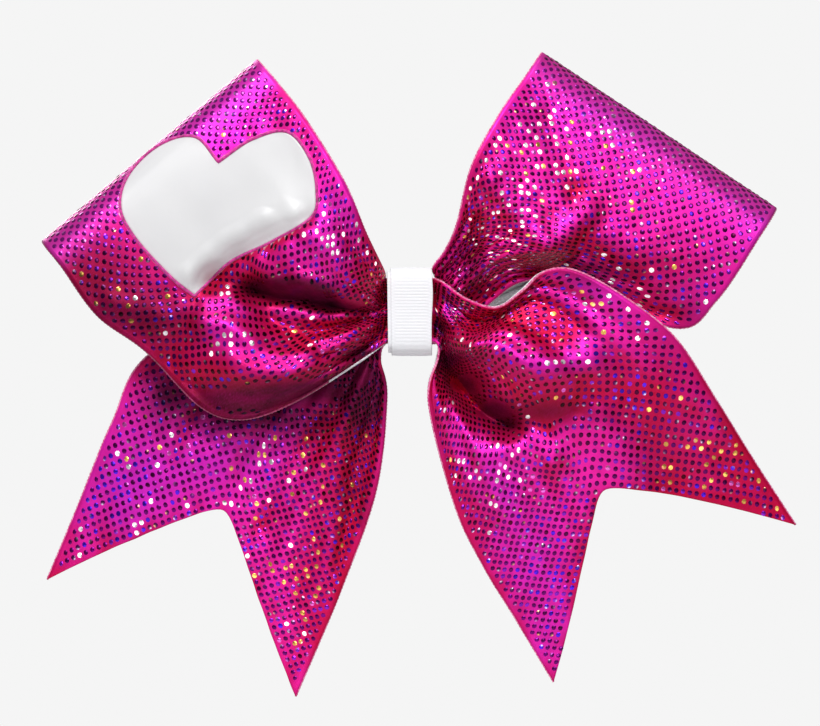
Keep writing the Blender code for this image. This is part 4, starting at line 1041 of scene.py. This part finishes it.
def in_heart(centre, row):
    """Whether points on the loop's front lie in the heart or on its rim."""
    edge = heart_outline(HEART_POINTS, grow=0.75)
    return inside_outline(centre[:, 0], centre[:, 2], edge) & (row < CLOTH_ROWS[0] + 15)


def depth_at(surface, x, z, spread=0.8):
    """The surface's depth over (x, z): the mean of the depths around, weighted by a bell of the distance."""
    flat = surface.reshape(-1, 3)
    depth = np.empty(x.size)
    for part in np.array_split(np.arange(x.size), 12):
        gap = (x.ravel()[part, None] - flat[None, :, 0]) ** 2 + (z.ravel()[part, None] - flat[None, :, 2]) ** 2
        weight = np.exp(-(gap - gap.min(axis=1, keepdims=True)) / (2 * spread**2))
        depth[part] = (weight * flat[None, :, 1]).sum(axis=1) / weight.sum(axis=1)
    return depth.reshape(x.shape)


def make_heart(ribbon, front_rows, satin, edge_yarn):
    """The white heart, rings from its middle to its edge, and its bound rim. It lies at the depth of the
    loop's face: a smoother mean of that depth in the middle, and the close mean at the edge."""
    front = ribbon.face[: front_rows + 8]
    outline = heart_outline(HEART_POINTS)
    middle = np.array([outline[:, 0].mean(), outline[:, 1].mean() + 2.0])
    rings = np.linspace(0.02, 0.995, HEART_RINGS)[:, None, None]
    flat = middle + (outline - middle)[None] * rings
    close = depth_at(front, flat[..., 0], flat[..., 1])
    smooth = np.minimum(depth_at(front, flat[..., 0], flat[..., 1], spread=2.6), close + 0.15)
    y = smooth + (close - smooth) * rings[:, :, 0] ** 6
    points = np.stack([flat[..., 0], y + 0.12, flat[..., 1]], axis=-1)
    hub = HEART_RINGS * HEART_POINTS
    j, k = np.arange(HEART_POINTS), (np.arange(HEART_POINTS) + 1) % HEART_POINTS
    cap = np.stack([np.full(HEART_POINTS, hub), j, k], axis=1)
    faces = grid_faces(HEART_RINGS, HEART_POINTS, wrap_columns=True).tolist() + cap.tolist()
    points = np.vstack([points.reshape(-1, 3), points[0].mean(axis=0)])
    heart = add_piece("heart", points, faces, satin)
    face_forward(heart)
    thicken(heart, HEART_THICKNESS)
    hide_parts("heart_panel")
    rim_line = heart_outline(2 * HEART_POINTS, grow=0.12)
    rim_y = depth_at(front, rim_line[:, 0], rim_line[:, 1])
    path = np.stack([rim_line[:, 0], rim_y - 0.16, rim_line[:, 1]], axis=1)
    rim = tube("heart_rim", path, HEART_RIM_RADIUS, 6, edge_yarn, closed=True)
    return heart, rim


def face_forward(piece):
    """Turns an open sheet's faces towards the front of the bow."""
    normal = np.empty(len(piece.data.polygons) * 3, np.float32)
    piece.data.polygons.foreach_get("normal", normal)
    if normal.reshape(-1, 3)[:, 1].mean() > 0:
        piece.data.flip_normals()


def cut_window(piece):
    """Cuts the heart's window through the loop's face with a prism of the heart's outline."""
    outline = heart_outline(WINDOW_POINTS)
    low, high = FOLD_Y - 40.0, FOLD_Y - 1.0
    points = np.vstack([np.insert(outline, 1, y, axis=1) for y in (low, high)])
    j, k = np.arange(WINDOW_POINTS), (np.arange(WINDOW_POINTS) + 1) % WINDOW_POINTS
    sides = np.stack([j, k, k + WINDOW_POINTS, j + WINDOW_POINTS], axis=1)
    ends = [j[::-1].tolist(), (j + WINDOW_POINTS).tolist()]
    prism = add_object("window_prism", points, sides.tolist() + ends)
    outward_faces(prism)
    cut = piece.modifiers.new("Heart window", "BOOLEAN")
    cut.operation, cut.object = "DIFFERENCE", prism
    bpy.context.view_layer.update()
    graph = bpy.context.evaluated_depsgraph_get()
    finished = bpy.data.meshes.new_from_object(
        piece.evaluated_get(graph), preserve_all_data_layers=True, depsgraph=graph
    )
    piece.modifiers.clear()
    piece.data = finished
    bpy.data.objects.remove(prism)


# ---- the centre band ---------------------------------------------------------------------------------------


def make_band(material):
    """The band: a strip wound twice round the knot, its ribs a row of half-round humps across it, fading to
    a plain woven edge on either side."""
    front, side = TIE_FRONT_Y - 0.45, TIE_HALF_HEIGHT + 0.45
    plate = CLIP_HEIGHT / 2 + 0.6
    half = [
        (PLATE_INNER_Y + 0.3, 0.0), (PLATE_INNER_Y + 0.3, plate - 1.0), (PLATE_INNER_Y, plate + 0.1),
        (PLATE_OUTER_Y - 0.3, plate + 0.35), (TIE_BACK_Y + 1.2, side - 2.0), (KNOT_BACK_Y + 0.6, side - 0.3),
        (MIDDLE_Y, side), (FRONT_Y, side), (TIE_FRONT_Y + 2.4, side - 0.1), (TIE_FRONT_Y + 0.6, side - 0.7),
        (front + 0.1, side - 2.7), (front, 0.0),
    ]
    ring = smooth_path(half + [(y, -z) for y, z in half[-2:0:-1]], BAND_STEPS, closed=True)
    tangent = np.roll(ring, -1, axis=0) - np.roll(ring, 1, axis=0)
    tangent /= np.linalg.norm(tangent, axis=1, keepdims=True)
    outward = np.stack([-tangent[:, 1], tangent[:, 0]], axis=1)
    outward *= np.sign(outward[0, 0])
    steps = np.arange(2 * BAND_STEPS - BAND_END_STEPS)
    turn, at = steps / BAND_STEPS, steps % BAND_STEPS
    run = np.linalg.norm(np.roll(ring, -1, axis=0) - ring, axis=1).sum()
    v = np.linspace(-0.5, 0.5, 33)[None, :]
    ribbed = np.clip((0.5 - np.abs(v)) / 0.09 - 0.6, 0, 1)
    rib = np.abs(np.sin(math.pi * (turn * run / BAND_RIB_PITCH)))[:, None] * ribbed
    rise = (turn * 0.75 + 0.225)[:, None] + 0.11 * rib
    bow_out = 0.5 * np.exp(-(((ring[at, 1] - 5.0) / 6.0) ** 2)) * (ring[at, 0] < MIDDLE_Y)
    x = (turn[:, None] - 1.5) * 0.9 + v * BAND_WIDTH + bow_out[:, None] * (v + 0.5)
    y = ring[at, 0][:, None] + outward[at, 0][:, None] * rise
    z = ring[at, 1][:, None] + outward[at, 1][:, None] * rise
    points = np.stack(np.broadcast_arrays(x, y, z), axis=-1)
    piece = add_piece("band", points, grid_faces(*points.shape[:2]).tolist(), material)
    face_out_from_knot(piece)
    flat = np.stack(np.broadcast_arrays((turn * run)[:, None], (v + 0.5) * BAND_WIDTH), axis=-1) / 10
    set_uv(piece, flat)
    thicken(piece, BAND_THICKNESS)
    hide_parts("centre_wrap")
    return piece, run * turn[-1]


def face_out_from_knot(piece):
    """Turns an open strip's faces away from the knot's middle line."""
    count = len(piece.data.polygons)
    normal, centre = np.empty(count * 3, np.float32), np.empty(count * 3, np.float32)
    piece.data.polygons.foreach_get("normal", normal)
    piece.data.polygons.foreach_get("center", centre)
    away = centre.reshape(-1, 3) - [0, MIDDLE_Y * MM, 0]
    if (normal.reshape(-1, 3)[:, 1:] * away[:, 1:]).sum() < 0:
        piece.data.flip_normals()


# ---- build -------------------------------------------------------------------------------------------------

cloth, foil = dotted_cloth(), foil_dots()
lining = grosgrain("white_lining", (0.82, 0.82, 0.84), 1.0)
band_ribbon = grosgrain("white_band", (0.86, 0.87, 0.9), 0.0)
satin = satin_panel()
edge_yarn = yarn("selvage_yarn", (0.62, 0.02, 0.20), (0.92, 0.30, 0.52))
# The pink selvage yarn darkened as painted shade, for the left loop's lower edge where it lies in shade.
shaded_yarn = yarn("shaded_selvage_yarn", (0.22, 0.004, 0.05), (0.45, 0.02, 0.14))
pale_yarn = yarn("silver_selvage_yarn", (0.55, 0.52, 0.58), (0.85, 0.84, 0.88))
rim_yarn = yarn("heart_edge", (0.35, 0.01, 0.16), (0.75, 0.03, 0.35))

move_left = forward_move(left_loop(SOLID_ROWS)[: SOLID_ROWS[0] + 1], left_tail(SOLID_TAIL))
move_right = forward_move(right_tail(SOLID_TAIL), right_loop(SOLID_ROWS)[: SOLID_ROWS[0] + 1])

loop_left, loop_right = left_loop(CLOTH_ROWS), right_loop(CLOTH_ROWS)
front_rows = CLOTH_ROWS[0] + 1
loop_left[:front_rows] = brought_forward(loop_left[:front_rows], move_left)
tail_left, tail_right = left_tail(CLOTH_TAIL), brought_forward(right_tail(CLOTH_TAIL), move_right)
loop_left, loop_right = evenly_across(loop_left), evenly_across(loop_right)
tail_left, tail_right = evenly_across(tail_left), evenly_across(tail_right)

# A tail's length is that of its two uncut edges.
ribbons = [
    Ribbon("left_loop", loop_left, -1, lengths(loop_left), False),
    Ribbon("right_loop", loop_right, 1, lengths(loop_right), False),
    Ribbon("left_tail", tail_left, -1, lengths(tail_left[:, [0, -1]]), True),
    Ribbon("right_tail", tail_right, 1, lengths(tail_right[:, [0, -1]]), True),
]

for number, ribbon in enumerate(ribbons):
    loop = not ribbon.notched
    face, back = make_layers(ribbon, cloth, lining)
    with_pieces = [
        make_dots(
            ribbon, foil, 100 + number,
            left_out=in_heart if ribbon.name == "left_loop" else None, smooth_rows=on_roll if loop else None,
        ),
        make_selvage(ribbon, edge_yarn, "upper_selvage", -1),
    ]
    if ribbon.name == "left_loop":
        near = int(np.argmax(ribbon.grid[:, 0, 0] < NEAR_SELVAGE_X))
        with_pieces += [
            make_selvage(ribbon, pale_yarn, "lower_selvage_near", 0, slice(0, near + 1)),
            make_selvage(ribbon, shaded_yarn, "lower_selvage", 0, slice(near, None)),
        ]
    else:
        with_pieces.append(make_selvage(ribbon, edge_yarn, "lower_selvage", 0))
    if ribbon.name == "left_loop":
        heart, rim = make_heart(ribbon, front_rows, satin, rim_yarn)
        cut_window(face)
        with_pieces.append(rim)

band, band_length = make_band(band_ribbon)

nickel = steel("nickel_plate", (0.78, 0.77, 0.74), 0.26, (40, 900, 900))
spring = steel("spring_steel", (0.66, 0.66, 0.66), 0.34, (30, 700, 700))
for name, material in {
    "clip_plate": nickel, "clip_arm": nickel, "hinge_pin": nickel, "bar_rivet": nickel, "catch_rivet": nickel,
    "catch_bracket": nickel, "tension_bar": spring, "catch_leg_upper": spring, "catch_leg_lower": spring,
    "cable_tie": moulded("nylon", (0.84, 0.84, 0.82), 0.42, 0.25),
    "glue_pad": moulded("hot_glue", (0.86, 0.84, 0.76), 0.38, 0.3),
}.items():
    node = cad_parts[name]
    node.data.materials.clear()
    node.data.materials.append(material)

# ---- floor, light and camera -------------------------------------------------------------------------------


def make_floor():
    """A plain pale round floor below the bow."""
    angle = np.linspace(0, 2 * math.pi, FLOOR_POINTS, endpoint=False)
    x, y = FLOOR_RADIUS * np.cos(angle), FLOOR_RADIUS * np.sin(angle)
    edge = np.stack([x, y, np.full(FLOOR_POINTS, FLOOR_Z)], axis=1)
    floor = add_object("floor", edge, [list(range(FLOOR_POINTS))])
    pale = bpy.data.materials.new("pale_floor")
    pale.use_nodes = True
    pale.node_tree.nodes["Principled BSDF"].inputs["Base Color"].default_value = (0.86, 0.86, 0.87, 1)
    floor.data.materials.append(pale)


def soft_light(name, place, size, power, aim=(0, -0.02, -0.01)):
    """A round area light that faces the bow."""
    light = bpy.data.lights.new(name, "AREA")
    light.shape, light.size, light.energy = "DISK", size, power
    lamp = bpy.data.objects.new(name, light)
    bpy.context.scene.collection.objects.link(lamp)
    lamp.location = place
    lamp.rotation_euler = (Vector(aim) - Vector(place)).to_track_quat("-Z", "Y").to_euler()


make_floor()
soft_light("key", (-0.30, -1.0, 0.85), 0.30, 12.5)
soft_light("front", (0.20, -1.3, 0.25), 0.6, 5.0)
soft_light("top", (0.1, -0.1, 1.0), 0.5, 2.0)
soft_light("back", (-0.4, 1.1, 0.5), 0.8, 7.0)

world = bpy.data.worlds.new("studio")
bpy.context.scene.world = world
world.use_nodes = True
tree = world.node_tree
shown = tree.nodes.new("ShaderNodeBackground")
shown.inputs["Color"].default_value = (0.913, 0.913, 0.913, 1)
ambient = tree.nodes["Background"]
ambient.inputs["Color"].default_value = (1.0, 0.99, 0.99, 1)
ambient.inputs["Strength"].default_value = 0.20
path = tree.nodes.new("ShaderNodeLightPath")
choose = tree.nodes.new("ShaderNodeMixShader")
tree.links.new(path.outputs["Is Camera Ray"], choose.inputs[0])
tree.links.new(ambient.outputs[0], choose.inputs[1])
tree.links.new(shown.outputs[0], choose.inputs[2])
tree.links.new(choose.outputs[0], tree.nodes["World Output"].inputs[0])
bpy.context.scene.view_settings.view_transform = "Standard"

camera_data = bpy.data.cameras.new("camera")
camera_data.lens = 180.0
camera = bpy.data.objects.new("camera", camera_data)
bpy.context.scene.collection.objects.link(camera)
camera.location = (-0.0003, -0.022 - 0.22304 * 180 / 36, -0.0141)
camera.rotation_euler = (math.pi / 2, 0, 0)
camera_data.clip_end = 50.0
bpy.context.scene.camera = camera
